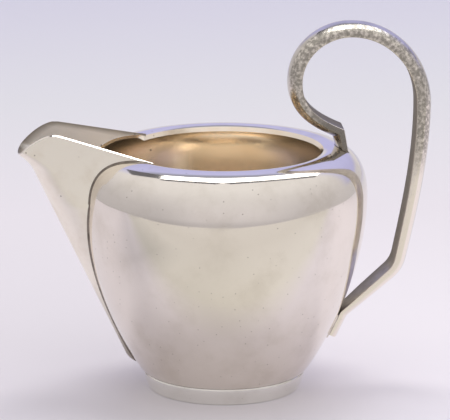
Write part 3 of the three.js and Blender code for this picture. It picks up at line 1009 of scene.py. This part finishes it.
@dataclass
class Spout:
    """Folded sheet that runs from a round tail near the foot up to the pouring lip."""

    bowl: Bowl
    wall: float = 0.45 * MM
    overhang: float = 17.4 * MM
    splay: float = math.radians(19.1)
    root_half_width: float = 18.3 * MM
    root_ledge: float = 0.333 * MM
    root_rise: float = -0.12 * MM
    tail_height: float = 9.5 * MM
    tail_proud: float = 1.5 * MM
    tail_radius: float = 1.3 * MM
    toe: float = 2.2 * MM  # height over which the tail rounds down on to the bowl
    tail_top: float = 26 * MM  # height up to which its seam runs steeply
    nose_taper: float = 0.236
    tip_flare: float = 2.2 * MM
    tip_flare_height: float = 4.6 * MM
    tip_drop: float = 0.7 * MM
    peak_setback: float = 10.1 * MM
    peak_rise: float = 6.3 * MM
    peak_round: float = 1.6 * MM
    headroom: float = 2.2 * MM  # above the peak, for searches and for the window's cut
    lip_bulge: float = 1.9 * MM
    lip_bevel: float = math.radians(31)  # outward slope of the cut edge along the lip
    lip_band: float = 0.3  # a face this near the middle of the wall, as a share of it, is on the lip
    lip_shade_depth: float = 1.6 * MM  # depth below the lip over which its inside carries a painted dark reflection
    tail_shade_height: float = 22 * MM  # height above the tail over which its outside carries painted shade
    sink: float = 0.25 * MM  # depth to which the sheet's edge lies in the bowl's wall
    ledge: float = 0.15 * MM  # edge of the bowl left inside the channel
    window_sill: float = 44 * MM
    window_round: float = 7 * MM
    fillet: float = 0.45 * MM
    nose_share: float = 0.5  # share of the sheet's half width that wraps the nose
    half_rows: int = 72
    height_steps: int = 56
    toe_steps: int = 10
    peak_steps: int = 5
    channel_steps: int = 20
    tip: Vector = field(init=False)
    root: float = field(init=False)  # distance of the side walls' ends from the bowl's axis, along the jug
    keel_foot: float = field(init=False)
    keel_slope: float = field(init=False)
    peak: Vector = field(init=False)
    lip_line: list[Vector] = field(init=False)

    def __post_init__(self) -> None:
        """Works out the pouring tip, the ends of the side walls, the keel and the lip line."""
        bowl = self.bowl
        self.tip = Vector((-(bowl.belly_radius + self.overhang), bowl.rim_height - self.tip_drop))
        self.root = math.sqrt((bowl.mouth.x + self.root_ledge) ** 2 - self.root_half_width ** 2)
        self.keel_foot = -(bowl.radius_at(self.tail_height) + self.tail_proud)
        run = self.tip.x + self.tip_flare - self.keel_foot
        self.keel_slope = run / (self.tip.y - self.tail_height)
        self.peak = Vector((self.tip.x + self.peak_setback, bowl.rim_height + self.peak_rise))
        self.lip_line = self.lip_points()

    def lip_points(self) -> list[Vector]:
        """Draws the lip from the side, from the pouring tip over the peak to the ends of the side walls.

        Returns:
            Place along the jug and height of each point.
        """
        root = Vector((-self.root, self.bowl.rim_height + self.root_rise))
        fall = self.tip - self.peak
        normal = Vector((fall.y, -fall.x)).normalized()
        full = (self.peak + self.tip) / 2 + normal * self.lip_bulge
        before = self.peak + (root - self.peak).normalized() * self.peak_round
        after = self.peak + (full - self.peak).normalized() * self.peak_round
        nose = curve_points([self.tip, full, after], self.height_steps)
        crown = curve_points([after, self.peak, before], self.peak_steps)
        return [*nose, *crown[1:], root]

    def lip_at(self, x: float) -> float:
        """Height of the lip over a place along the jug."""
        return float(np.interp(x, [p.x for p in self.lip_line], [p.y for p in self.lip_line]))

    def keel_at(self, height: float) -> float:
        """Finds the spout's front line at a height.

        Args:
            height: The height.

        Returns:
            The line's place along the jug.
        """
        if height < self.tail_height:
            depth = min((self.tail_height - height) / self.toe, 1.0)
            return -(self.bowl.radius_at(height) + self.tail_proud * math.sqrt(1 - depth * depth))
        curl = max(0.0, (height - self.tip.y) / self.tip_flare_height + 1)
        straight = self.keel_foot + self.keel_slope * (height - self.tail_height)
        return straight - self.tip_flare * curl * curl

    def nose_at(self, height: float) -> float:
        """Finds the radius of the spout's nose, a cone that runs out into the flat side walls.

        Args:
            height: Height at which it is measured.

        Returns:
            The radius.
        """
        cone = self.tail_radius + self.nose_taper * max(0.0, height - self.tail_height)
        reach = self.root_half_width + (self.keel_at(height) + self.root) * math.tan(self.splay)
        return min(cone, reach * math.cos(self.splay) / (1 - math.sin(self.splay)))

    def point(self, share: float, height: float, inset: float = 0.0) -> Vector:
        """Finds a point of the sheet.

        Args:
            share: Place across the sheet, from -1 at the near root through the keel to 1 at the far one.
            height: Height of the point.
            inset: Depth under the outer surface.

        Returns:
            The point in the frame.
        """
        radius = self.nose_at(height)
        across = abs(share)
        turn = (math.pi / 2 - self.splay) * min(across / self.nose_share, 1.0)
        x = self.keel_at(height) + radius - math.cos(turn) * (radius - inset)
        y = math.sin(turn) * (radius - inset)
        if across > self.nose_share:
            run = (across - self.nose_share) / (1 - self.nose_share)
            back = x + (-self.root - x) * run
            y += (back - x) * math.tan(self.splay)
            x = back
        return Vector((x, math.copysign(y, share), height))

    def outward_at(self, point: Vector) -> Vector:
        """Finds the level direction out of the sheet: from the nose's axis, or square to a side wall.

        Args:
            point: A point of the sheet.

        Returns:
            The direction, of length 1.
        """
        axis = self.keel_at(point.z) + self.nose_at(point.z)
        out = Vector((point.x - axis, abs(point.y))).normalized()
        if out.x > -math.sin(self.splay):
            out = Vector((-math.sin(self.splay), math.cos(self.splay)))
        return Vector((out.x, math.copysign(out.y, point.y), 0))

    def depth_at(self, point: Vector) -> float:
        """Measures the level depth of a point of the sheet under its outer surface.

        Args:
            point: The point in the frame.

        Returns:
            The depth.
        """
        radius = self.nose_at(point.z)
        axis = Vector((self.keel_at(point.z) + radius, 0, point.z))
        return radius - (point - axis).dot(self.outward_at(point))

    def lip_height(self, share: float, inset: float, drop: float = 0.0) -> float:
        """Height at which a line up the sheet meets the lip, or comes within a drop of it."""
        return crossing(lambda height: height + drop - self.lip_at(self.point(share, height, inset).x),
                        self.bowl.belly_height, self.peak.y + self.headroom)

    def toe_heights(self) -> list[float]:
        """Heights round the toe, closer together at the bottom, up to the straight part of the tail."""
        turns = np.linspace(0, 1, self.toe_steps, endpoint=False) ** 2 * math.pi / 2
        return [float(height) for height in self.tail_height - self.toe * np.cos(turns)]

    def shares(self) -> list[float]:
        """Places across the sheet, from the near root through the keel to the far one."""
        return [float(share) for share in np.linspace(-1, 1, 2 * self.half_rows + 1)]

    def ring(self, share: float) -> list[Vector]:
        """Draws a closed line round the sheet: up its outside, over the bevelled lip and down its inside.

        Args:
            share: Place across the sheet.

        Returns:
            The line's points.
        """
        columns = []
        for inset in (0.0, self.wall):
            top = self.lip_height(share, inset, (self.wall - inset) * math.tan(self.lip_bevel))
            heights = [*self.toe_heights(), *np.linspace(self.tail_height, top, self.height_steps + 1)]
            columns.append([self.point(share, height, inset) for height in heights])
        return [*columns[0], *columns[1][::-1]]

    def standoff(self, share: float, height: float) -> float:
        """How far a point of the sheet's outer surface lies outside the bowl."""
        return self.bowl.clearance(self.point(share, height))

    def seam_share(self, height: float) -> float:
        """Place across the sheet where a level line round it meets the bowl's surface."""
        return crossing(lambda share: -self.standoff(share, height), 0, 1)

    def seam_height(self, share: float) -> float:
        """Finds where a line down the side wall meets the bowl's surface.

        Args:
            share: Place across the sheet.

        Returns:
            The height.
        """
        top = self.lip_height(share, 0.0, self.wall)
        heights = np.linspace(top, self.tail_height, 2 * self.height_steps)
        below = next(k for k, height in enumerate(heights) if self.standoff(share, height) <= 0)
        above = max(below - 1, 0)
        return crossing(lambda height: self.standoff(share, height), heights[below], heights[above])

    def half_seam(self) -> list[tuple[float, float]]:
        """Follows half the seam with the bowl: round the toe, up the tail, and along the side wall.

        Returns:
            Share and height of each point.
        """
        half = self.half_rows // 2
        tail = [*self.toe_heights(), *np.linspace(self.tail_height, self.tail_top, half)]
        points = [(self.seam_share(height), height) for height in tail]
        sides = np.linspace(points[-1][0], 1, half + 1)[1:]
        return [*points, *((share, self.seam_height(share)) for share in sides)]

    def holds(self, point: Vector) -> bool:
        """Tells whether a point at the window's height or above lies in the spout's channel.

        Args:
            point: The point in the frame.

        Returns:
            Whether it lies within the sheet's inner surface.
        """
        if point.x > -self.root or point.z < self.window_sill:
            return False
        half = [self.point(share, point.z, self.wall) for share in np.linspace(0, 1, self.channel_steps)]
        return abs(point.y) < np.interp(point.x, [p.x for p in half], [p.y for p in half], left=0.0)

    def window(self) -> Piece:
        """Makes the solid that cuts the pouring window: the channel, narrowed to an arch with a round end.

        Returns:
            The solid.
        """
        spring = self.window_sill + self.window_round
        widen = (self.root_half_width - self.window_round) / self.root_half_width
        bottom = self.window_sill + self.sink  # the arch has no width at the sill itself
        rings = []
        for height in np.linspace(bottom, self.peak.y + self.headroom, self.height_steps):
            drop = max(0.0, spring - height)
            half = math.sqrt(self.window_round ** 2 - drop ** 2) + max(0.0, height - spring) * widen
            side = [self.point(share, height, self.wall + self.ledge) for share in self.shares()]
            rings.append([Vector((p.x, max(-half, min(half, p.y)), p.z)) for p in side])
        return skin_rings("pouring_window", rings)

    def build(self, turning: TurningTree, sweeping: SweepTree) -> list[Piece]:
        """Builds the folded sheet and the solder along its seam.

        Args:
            turning: Tree that turns a profile.
            sweeping: Tree that carries a section along a line.

        Returns:
            The spout and its solder.
        """
        piece = skin_rings("folded_spout", [self.ring(share) for share in self.shares()])
        finishes = [finish.material() for finish in (SATIN_SILVER, BRUSHED_SILVER, POLISHED_SILVER)]
        self.bowl.trim(piece, turning, self.sink, finishes[0])
        self.dress(piece.data, finishes)
        solder = Fillet("spout_fillet", "spout_solder", self.fillet)
        return [seat(piece, "spout"), solder.build(sweeping, self.seam_rows(solder))]

    def dress(self, mesh: Mesh, finishes: Sequence[Material]) -> None:
        """Gives the sheet's two sides and its lip their finishes, and marks its painted shade: inside below
        the lip, outside above the tail.

        Args:
            mesh: The sheet's mesh.
            finishes: Finishes of the outside, the inside and the lip.
        """
        mesh.materials.clear()
        for finish in finishes:
            mesh.materials.append(finish)
        for face in mesh.polygons:
            depth = self.depth_at(face.center) / self.wall - 0.5
            side = SheetFace.OUTSIDE if depth < 0 else SheetFace.INSIDE
            face.material_index = (SheetFace.LIP if abs(depth) < self.lip_band else side).value
        # painted shade: darkest inside at the lip and outside at the tail, fading away from each
        shade_marks = []
        for place in (vertex.co for vertex in mesh.vertices):
            below_lip = (self.lip_at(place.x) - place.z) / self.lip_shade_depth
            above_tail = (place.z - self.tail_height) / self.tail_shade_height
            shade_marks.append(1 - (above_tail if self.depth_at(place) < self.wall / 2 else below_lip))
        mark_painted_shade(mesh, shade_marks)

    def seam_rows(self, solder: Fillet) -> list[Row]:
        """Sets out the solder along the seam, from lip to lip round the tail.

        Args:
            solder: Fillet that follows the seam.

        Returns:
            Place, across axis and rise axis of each row.
        """
        half = self.half_seam()
        places = [*((-share, height) for share, height in half[:0:-1]), *half]
        seam = [self.point(share, height) for share, height in places]
        rises, step = [], 1 / self.half_rows
        for k, (share, height) in enumerate(places):
            along = seam[min(k + 1, len(seam) - 1)] - seam[max(k - 1, 0)]
            aside = self.point(share + step, height) - self.point(share - step, height)
            up = self.point(share, height + self.sink) - seam[k]
            rise = along.cross(aside.cross(up))
            rises.append(rise if rise.dot(self.bowl.normal_at(seam[k])) > 0 else -rise)
        return solder.rows(self.bowl, seam, rises, Vector((1, -1, 0)))


@dataclass
class Handle:
    """Forged strap, bent to a loop, with a mitred post on the shoulder and a tail on the bowl."""

    bowl: Bowl
    strap_width: float = 9.6 * MM
    tail_width: float = 8 * MM
    crown: float = 0.35  # share of the strap's thickness that the rounded outer face takes up
    edge_width: float = 0.072  # rounding of the outer edges, as a share of the width
    edge_depth: float = 0.225  # and of the thickness
    crown_tilt: float = 0.93  # a face whose normal shares more than this with the crown's top gets the crown's finish, darker as painted shade
    inner_tilt: float = 0.6  # and one that shares more than this with the inside's gets the inside's painted shade
    corner: float = 0.09  # rounding of the inner corners, as a share of the thickness
    post_thickness: float = 2.9 * MM
    bend_thickness: float = 3.4 * MM
    loop_thickness: float = 3.9 * MM
    grip_thickness: float = 4.4 * MM
    elbow_thickness: float = 3.55 * MM
    tail_thickness: float = 2.6 * MM
    post_setback: float = 3 * MM
    post_lean: float = 1.1 * MM
    post_rise: float = 4.1 * MM
    loop_inset: float = 12.1 * MM
    loop_side_rise: float = 18.5 * MM
    loop_top_rise: float = 33.2 * MM
    loop_top_inset: float = 20.45 * MM
    grip_standoff: float = 15.5 * MM
    grip_rise: float = 11.6 * MM
    elbow_standoff: float = 8.7 * MM
    elbow_height: float = 33.6 * MM
    elbow_round: float = 3 * MM
    arc_fullness: float = 0.55
    loop_start_rise: float = 0.2
    tail_standoff: float = 0.5 * MM
    tail_top: float = 20.4 * MM
    tail_end: float = 14.2 * MM
    sink: float = 0.3 * MM
    fillet: float = 0.5 * MM
    post_shade_run: int = 36  # rows of painted shade from the post's foot upwards, which fades over their second half
    curve_steps: int = 40
    line_steps: int = 10
    corner_steps: int = 3

    def curves(self) -> list[list[Vector]]:
        """Draws the strap's middle line from the post to the tail.

        Returns:
            Control points of each curve, as places along the jug and heights.
        """
        bowl, full = self.bowl, self.arc_fullness
        rim = bowl.rim_height
        post_x = bowl.crest.x + self.post_setback
        bend = Vector((post_x - self.post_lean, rim + self.post_rise))
        foot = Vector((post_x, bowl.cover_at(post_x) - self.sink))
        side = Vector((bend.x - self.loop_inset, rim + self.loop_side_rise))
        grip = Vector((bowl.belly_radius + self.grip_standoff, rim + self.grip_rise))
        top = Vector((grip.x - self.loop_top_inset, rim + self.loop_top_rise))
        elbow = Vector((bowl.belly_radius + self.elbow_standoff, self.elbow_height))
        standoff = self.tail_standoff + self.tail_thickness / 2
        tail, end = (Vector((bowl.radius_at(height) + standoff, height))
                     for height in (self.tail_top, self.tail_end))
        start_rise = (side.y - bend.y) * self.loop_start_rise
        leave = Vector((bend.x + (side.x - bend.x) * full, bend.y + start_rise))
        fall = grip - elbow
        lead = Vector((elbow.x + fall.x / 2, elbow.y + fall.y / 3))
        above = elbow + (lead - elbow).normalized() * self.elbow_round
        below = elbow + (tail - elbow).normalized() * self.elbow_round
        return [
            [foot, bend],
            [bend, leave, side.lerp(Vector((side.x, bend.y)), full), side],
            [side, side.lerp(Vector((side.x, top.y)), full), top.lerp(Vector((side.x, top.y)), full), top],
            [top, top.lerp(Vector((grip.x, top.y)), full), grip.lerp(Vector((grip.x, top.y)), full), grip],
            [grip, Vector((grip.x, grip.y - fall.y / 3)), lead, above],
            [above, elbow, below],
            [below, tail],
            [tail, end],
        ]

    def rows(self) -> list[Row]:
        """Sets out the strap's section along its middle line.

        Returns:
            Inner edge, width axis and thickness axis at each station.
        """
        thickness = [
            self.post_thickness, self.bend_thickness, self.loop_thickness, self.loop_thickness,
            self.grip_thickness, self.elbow_thickness, self.elbow_thickness, self.tail_thickness,
            self.tail_thickness,
        ]
        curves = self.curves()
        taper = len(curves) - 1.5  # the strap narrows from half way down the curve before its tail
        line, thick, width = [], [], []
        for k, control in enumerate(curves):
            steps = self.line_steps if len(control) == 2 else self.curve_steps
            for j, point in enumerate(curve_points(control, steps)):
                if j == 0 and k > 0:
                    continue
                share = j / steps
                narrow = min(max(2 * (k + share - taper), 0.0), 1.0)
                line.append(point)
                thick.append(thickness[k] + (thickness[k + 1] - thickness[k]) * share)
                width.append(self.strap_width + (self.tail_width - self.strap_width) * narrow)
        inner = offset_line(line, [-t / 2 for t in thick])
        outer = offset_line(line, [t / 2 for t in thick])
        return [(Vector((a.x, 0, a.y)), Vector((0, w, 0)), Vector((b.x - a.x, 0, b.y - a.y)))
                for a, b, w in zip(inner, outer, width)]

    def outline(self) -> list[tuple[float, float]]:
        """Draws the strap's section, flat inside and crowned outside.

        Returns:
            Its points, in shares of the width and the thickness.
        """
        narrow = self.corner * self.loop_thickness / self.strap_width
        corner = [(0.5 - narrow, 0), (0.5, 0), (0.5, self.corner)]
        shoulder = Vector((0.5 - self.edge_width, 1 - self.crown))
        low = shoulder.y - self.edge_depth
        edge = [(0.5, low), (0.5, low + self.edge_depth / 2), shoulder]
        crown = [shoulder, (shoulder.x / 2, 1), (0, 1)]
        half = [
            *curve_points(corner, self.corner_steps),
            *curve_points(edge, 2 * self.corner_steps),
            *curve_points(crown, self.line_steps)[1:],
        ]
        right = [(p.x, p.y) for p in half]
        left = [(-x, y) for x, y in right[-2::-1]]
        return [*right, *left, right[0]]

    def build(self, sweeping: SweepTree) -> list[Piece]:
        """Builds the strap and the solder round its post and its tail.

        Args:
            sweeping: Tree that carries a section along a line.

        Returns:
            The handle and its two fillets.
        """
        rows, outline = self.rows(), self.outline()
        piece = sweeping.sweep("strap_handle", rows, outline, WORN_SHADED_SILVER.material())
        self.dress(piece.data, rows)
        made = [seat(piece, "handle")]
        place, across, rise = rows[0]
        foot = [place + across * x + rise * y for x, y in outline]
        post_seam = [Vector((p.x, p.y, self.bowl.cover_at(math.hypot(p.x, p.y)))) for p in foot]
        upright = [Vector((0, 0, 1))] * len(post_seam)
        tail_seam = self.tail_seam()
        off_bowl = [self.bowl.normal_at(point) for point in tail_seam]
        for name, node, finish, seam, rises, away in (
            ("post_fillet", "handle_root_solder", SHADED_SOLDER, post_seam, upright, Vector((0, 1, 0))),
            ("tail_fillet", "handle_tail_solder", BUFFED_SOLDER, tail_seam, off_bowl, Vector((0, -1, 0))),
        ):
            solder = Fillet(name, node, self.fillet, finish)
            made.append(solder.build(sweeping, solder.rows(self.bowl, seam, rises, away)))
        return made

    def dress(self, mesh: Mesh, rows: Sequence[Row]) -> None:
        """Gives the strap's outer face and its inside their finishes, both darker than its sides as painted
        shade, and marks painted shade at its post.

        Args:
            mesh: The strap's mesh, which has the finish of its sides.
            rows: Rows that it was swept along.
        """
        mesh.materials.append(BUFFED_SHADED_SILVER.material())
        mesh.materials.append(SHADED_INSIDE_SILVER.material())
        middles = np.array([place + rise / 2 for place, _, rise in rows])
        stations = [self.station(middles, vertex.co) for vertex in mesh.vertices]
        # painted shade at the post: full over the first half of the run from its foot, fading over the
        # second
        mark_painted_shade(mesh, [2 - 2 * station / self.post_shade_run for station in stations])
        # the crown and the inside take darker copies of the silver as painted shade
        for face in mesh.polygons:
            tilt = face.normal.dot(rows[self.station(middles, face.center)][2].normalized())
            side = StrapFace.CROWN if tilt > self.crown_tilt else StrapFace.SIDE
            face.material_index = (StrapFace.INSIDE if -tilt > self.inner_tilt else side).value

    @staticmethod
    def station(middles: np.ndarray, point: Vector) -> int:
        """Number of the row whose middle is nearest to a point."""
        return int(np.argmin(((middles - np.array(point)) ** 2).sum(axis=1)))

    def tail_seam(self) -> list[Vector]:
        """Draws a closed line round the tail on the bowl's surface.

        Returns:
            The line's points, the first one repeated last.
        """
        half = self.tail_width / 2
        corners = [(-half, self.tail_top), (-half, self.tail_end), (half, self.tail_end),
                   (half, self.tail_top), (-half, self.tail_top)]
        seam = []
        for start, end in zip(corners, corners[1:]):
            for share in np.linspace(0, 1, self.line_steps + 1)[:-1]:
                y, z = (a + (b - a) * share for a, b in zip(start, end))
                seam.append(Vector((math.sqrt(self.bowl.radius_at(z) ** 2 - y * y), y, z)))
        return [*seam, seam[0].copy()]


# Stage


@dataclass(frozen=True)
class BoardPaint:
    """Matt paint on the table: pale, with soft shade from front to back and from side to side."""

    name: str = "painted_board_matt"
    roughness: float = 0.8
    gloss: float = 0.1
    stops: Stops = (  # distance behind the jug, and colour
        (-0.25, "#E8E5DC"), (-0.15, "#E3E0D7"), (-0.065, "#EBE9E1"), (-0.042, "#F1EDF2"), (0.0, "#F5F0F3"),
        (0.05, "#F3EEF0"), (0.2, "#E6E1E3"), (0.37, "#DCDBDD"), (0.57, "#D3D1DC"),
    )
    shades: tuple[tuple[Stops, Stops], ...] = (  # shades across, each with its strength from front to back
        (((-0.25, "#F2F2F2"), (-0.11, "#E0E0E0"), (-0.065, "#FFFFFF")),
         ((-0.12, "#000000"), (-0.07, "#FFFFFF"), (-0.03, "#FFFFFF"), (0.02, "#000000"))),
        (((-0.02, "#F2F2F2"), (0.05, "#FFFFFF")),
         ((-0.2, "#000000"), (-0.065, "#FFFFFF"), (-0.042, "#000000"))),
        (((-0.02, "#F0F0F0"), (0.03, "#FFFFFF")),
         ((-0.065, "#000000"), (-0.03, "#FFFFFF"), (0.05, "#FFFFFF"), (0.2, "#000000"))),
    )

    def material(self) -> Material:
        """Builds the material's nodes.

        Returns:
            The new material.
        """
        material = empty_material(self.name)
        tree = material.node_tree
        place = add_node(tree, "ShaderNodeTexCoord").outputs["Object"]
        axes = add_node(tree, "ShaderNodeSeparateXYZ", {0: place}).outputs
        colour = mix_stops(tree, axes["Y"], self.stops)
        for across, along in self.shades:
            colour = add_node(tree, "ShaderNodeMix", {
                MIX_FACTOR: mix_stops(tree, axes["Y"], along),
                MIX_FIRST: colour,
                MIX_SECOND: mix_stops(tree, axes["X"], across),
            }, data_type="RGBA", blend_type="MULTIPLY").outputs[MIX_RESULT]
        inputs = {"Base Color": colour, "Roughness": self.roughness, "Specular IOR Level": self.gloss}
        shader = add_node(tree, "ShaderNodeBsdfPrincipled", inputs)
        add_node(tree, "ShaderNodeOutputMaterial", {"Surface": shader})
        return material


@dataclass(frozen=True)
class DyedCloth:
    """Cotton cloth, dyed grey: a matt dark edge to the light, which shows in the silver only."""

    name: str = "cotton_cloth_grey"
    colour: str = "#8E9094"

    def material(self) -> Material:
        """Builds the material's nodes.

        Returns:
            The new material.
        """
        material = empty_material(self.name)
        inputs = {"Base Color": linear(self.colour), "Roughness": 1.0}
        shader = add_node(material.node_tree, "ShaderNodeBsdfPrincipled", inputs)
        add_node(material.node_tree, "ShaderNodeOutputMaterial", {"Surface": shader})
        return material


@dataclass(frozen=True)
class Panel:
    """A panel of the softbox."""

    start: tuple[float, float, float]  # middle of one short side
    end: tuple[float, float, float]

    def arm(self) -> Vector:
        """Line along the panel's middle."""
        return Vector(self.end) - Vector(self.start)

    def centre(self) -> Vector:
        """Middle of the panel."""
        return Vector(self.start) + self.arm() / 2

    def aside(self, target: Vector) -> Vector:
        """Direction across the panel, of length 1, when it faces a target."""
        return (self.centre() - target).cross(self.arm().normalized()).normalized()


@dataclass
class Studio:
    """Pale table, soft light and the camera at the photograph's angle."""

    focal_pixels: float = 4077.1
    image_width: int = 450
    camera_distance: float = 1.1336
    camera_elevation: float = math.radians(13.91)
    camera_turn: float = math.radians(4.3)
    target: Vector = field(default_factory=lambda: Vector((0.26 * MM, 0, 50.27 * MM)))
    sensor: float = 36.0
    table_centre: tuple[float, float] = (0.075, 0.05)  # of its rounded front, along the camera's heading
    table_reach: tuple[float, float] = (0.53, 0.312)  # half width, and depth of the rounded front
    table_back: float = 2.2
    table_steps: int = 64
    front_stops: Stops = (  # height of the direction, as a share, and colour
        (-0.2, "#C6C2C6"), (-0.1, "#DBD7DB"), (0.05, "#E2DEE2"), (0.5, "#E7E4E6"), (0.9, "#F4F2F3"),
    )
    back_stops: Stops = (
        (0.1, "#DEDBE0"), (0.2, "#C4C4F2"), (0.68, "#CED0FF"), (0.77, "#A4A8BC"), (0.86, "#A4A8BC"),
        (0.91, "#EEF3FF"),
    )
    back_spread: tuple[float, float] = (0.3, 0.6)  # depth of the direction where the back comes in
    back_left: tuple[float, float] = (-0.55, -0.3)  # sideways share of the direction where the back ends
    left_shade: float = 0.22  # share of the light that the left side lacks near the horizon
    right_shade: float = 0.15
    side_spread: tuple[float, float] = (0.4, 0.85)  # sideways share where a side's shade comes in
    shade_heights: tuple[float, float] = (0.65, 0.1)  # where the shade begins and is full
    panels: tuple[Panel, ...] = (
        Panel(start=(-0.365, 0.46, 1.05), end=(0.084, 0.165, 1.05)),
        Panel(start=(-0.088, 0.173, 1.05), end=(0.81, 0.655, 1.05)),
    )
    panel_width: float = 0.34
    light_power: float = 4.4  # of all the panels together
    border_width: float = 0.13  # dark cloth along the front of the panels
    border_end: float = 0.42  # and beyond the first one's end
    border_flare: tuple[float, float] = (2.2, 0.2)  # back and front of that end, in half widths of a panel

    def build(self) -> None:
        """Makes the camera, the table, the softbox and the surroundings."""
        self.camera()
        self.table()
        self.softbox()
        self.border()
        self.surroundings()
        bpy.context.scene.view_settings.view_transform = "Standard"

    def camera(self) -> None:
        """Sets the camera by its distance, height and turn round the jug."""
        data = bpy.data.cameras.new("camera")
        data.sensor_width = self.sensor
        data.lens = self.sensor * self.focal_pixels / self.image_width
        eye = bpy.data.objects.new("camera", data)
        level = math.cos(self.camera_elevation)
        back = Vector((
            -level * math.sin(self.camera_turn),
            -level * math.cos(self.camera_turn),
            math.sin(self.camera_elevation),
        ))
        eye.location = self.target + back * self.camera_distance
        eye.rotation_euler = (-back).to_track_quat("-Z", "Y").to_euler()
        bpy.context.scene.collection.objects.link(eye)
        bpy.context.scene.camera = eye

    def table(self) -> None:
        """Lays the pale table, whose rounded front edge shows in the silver as a line round the belly."""
        (x, y), (wide, deep) = self.table_centre, self.table_reach
        edge = [(x + wide * math.cos(turn), y + deep * math.sin(turn))
                for turn in np.linspace(math.pi, math.tau, self.table_steps + 1)]
        edge += [(x + wide, self.table_back), (x - wide, self.table_back)]
        ahead, aside = math.cos(self.camera_turn), math.sin(self.camera_turn)
        corners = [(ahead * a + aside * b, ahead * b - aside * a, 0) for a, b in edge]
        floor = link_mesh("table", corners, faces=[tuple(range(len(corners)))])
        floor.data.materials.append(BoardPaint().material())

    def softbox(self) -> None:
        """Hangs the softbox over the jug, two panels in a shallow V that the shoulder shows as one band."""
        total = sum(panel.arm().length for panel in self.panels)
        for panel in self.panels:
            arm, aside = panel.arm(), panel.aside(self.target)
            data = bpy.data.lights.new("softbox", "AREA")
            data.shape = "RECTANGLE"
            data.size, data.size_y = arm.length, self.panel_width
            data.energy = self.light_power * arm.length / total
            along = arm.normalized()
            turn = Matrix((along, aside, along.cross(aside))).transposed().to_4x4()
            lamp = bpy.data.objects.new("softbox", data)
            lamp.matrix_world = Matrix.Translation(panel.centre()) @ turn
            bpy.context.scene.collection.objects.link(lamp)

    def border(self) -> None:
        """Hangs grey cloth along the front of the panels and beyond the first one's end."""
        corners = []
        for panel in self.panels:
            aside = panel.aside(self.target)
            front = -aside if aside.y > 0 else aside
            inner, outer = front * self.panel_width / 2, front * (self.panel_width / 2 + self.border_width)
            start, end = Vector(panel.start), Vector(panel.end)
            corners += [start + inner, end + inner, end + outer, start + outer]
            if panel is self.panels[0]:
                beyond = start - panel.arm().normalized() * self.border_end
                behind, before = self.border_flare
                corners += [beyond - inner * behind, start - inner, start + inner, beyond + inner * before]
        faces = [tuple(range(k, k + 4)) for k in range(0, len(corners), 4)]
        cloth = link_mesh("softbox_border", corners, faces=faces)
        cloth.visible_camera = False
        cloth.data.materials.append(DyedCloth().material())

    def side_light(self, tree: Tree, axes: bpy.types.NodeOutputs) -> Node:
        """Works out the share of the light that is left near the horizon, where the room's sides are darker.

        Args:
            tree: Tree of the world.
            axes: Sockets of the direction's three parts.

        Returns:
            Node of the share.
        """
        start, full = self.side_spread
        begin, end = self.shade_heights
        low = add_node(tree, "ShaderNodeMapRange", {0: axes["Z"], 1: begin, 2: end})
        left = add_node(tree, "ShaderNodeMapRange", {0: axes["X"], 1: -start, 2: -full, 4: self.left_shade})
        right = add_node(tree, "ShaderNodeMapRange", {0: axes["X"], 1: start, 2: full, 4: self.right_shade})
        both = add_node(tree, "ShaderNodeMath", {0: left, 1: right}, operation="ADD")
        shade = add_node(tree, "ShaderNodeMath", {0: both, 1: low}, operation="MULTIPLY")
        return add_node(tree, "ShaderNodeMath", {0: 1.0, 1: shade}, operation="SUBTRACT")

    def surroundings(self) -> None:
        """Paints the room: neutral in front of the jug, lavender behind it, brighter overhead."""
        world = bpy.data.worlds.new("studio")
        world.use_nodes = True
        tree = world.node_tree
        tree.nodes.clear()
        way = add_node(tree, "ShaderNodeTexCoord").outputs["Generated"]
        axes = add_node(tree, "ShaderNodeSeparateXYZ", {0: way}).outputs
        inputs = {0: axes["Y"], 1: self.back_spread[0], 2: self.back_spread[1]}
        depth = add_node(tree, "ShaderNodeMapRange", inputs, interpolation_type="SMOOTHSTEP")
        inputs = {0: axes["X"], 1: self.back_left[0], 2: self.back_left[1], 4: depth}
        colour = add_node(tree, "ShaderNodeMix", {
            MIX_FACTOR: add_node(tree, "ShaderNodeMapRange", inputs),
            MIX_FIRST: mix_stops(tree, axes["Z"], self.front_stops),
            MIX_SECOND: mix_stops(tree, axes["Z"], self.back_stops),
        }, data_type="RGBA").outputs[MIX_RESULT]
        inputs = {"Color": colour, "Strength": self.side_light(tree, axes)}
        light = add_node(tree, "ShaderNodeBackground", inputs)
        add_node(tree, "ShaderNodeOutputWorld", {"Surface": light})
        bpy.context.scene.world = world


def main() -> None:
    """Builds the studio and then the jug, and reports each piece."""
    logging.basicConfig(level=logging.INFO, format="%(name)s: %(message)s")
    Studio().build()
    turning, sweeping = TurningTree(), SweepTree()
    bowl = Bowl.from_frame()
    spout = Spout(bowl)
    pieces = [bowl.build(turning, spout.window(), spout.holds)]
    pieces += Foot.from_frame().build(turning)
    pieces += spout.build(turning, sweeping)
    pieces += Handle(bowl).build(sweeping)
    for piece in pieces:
        LOG.info("%s: %d faces", piece.name, len(piece.data.polygons))


if __name__ == "__main__":
    main()
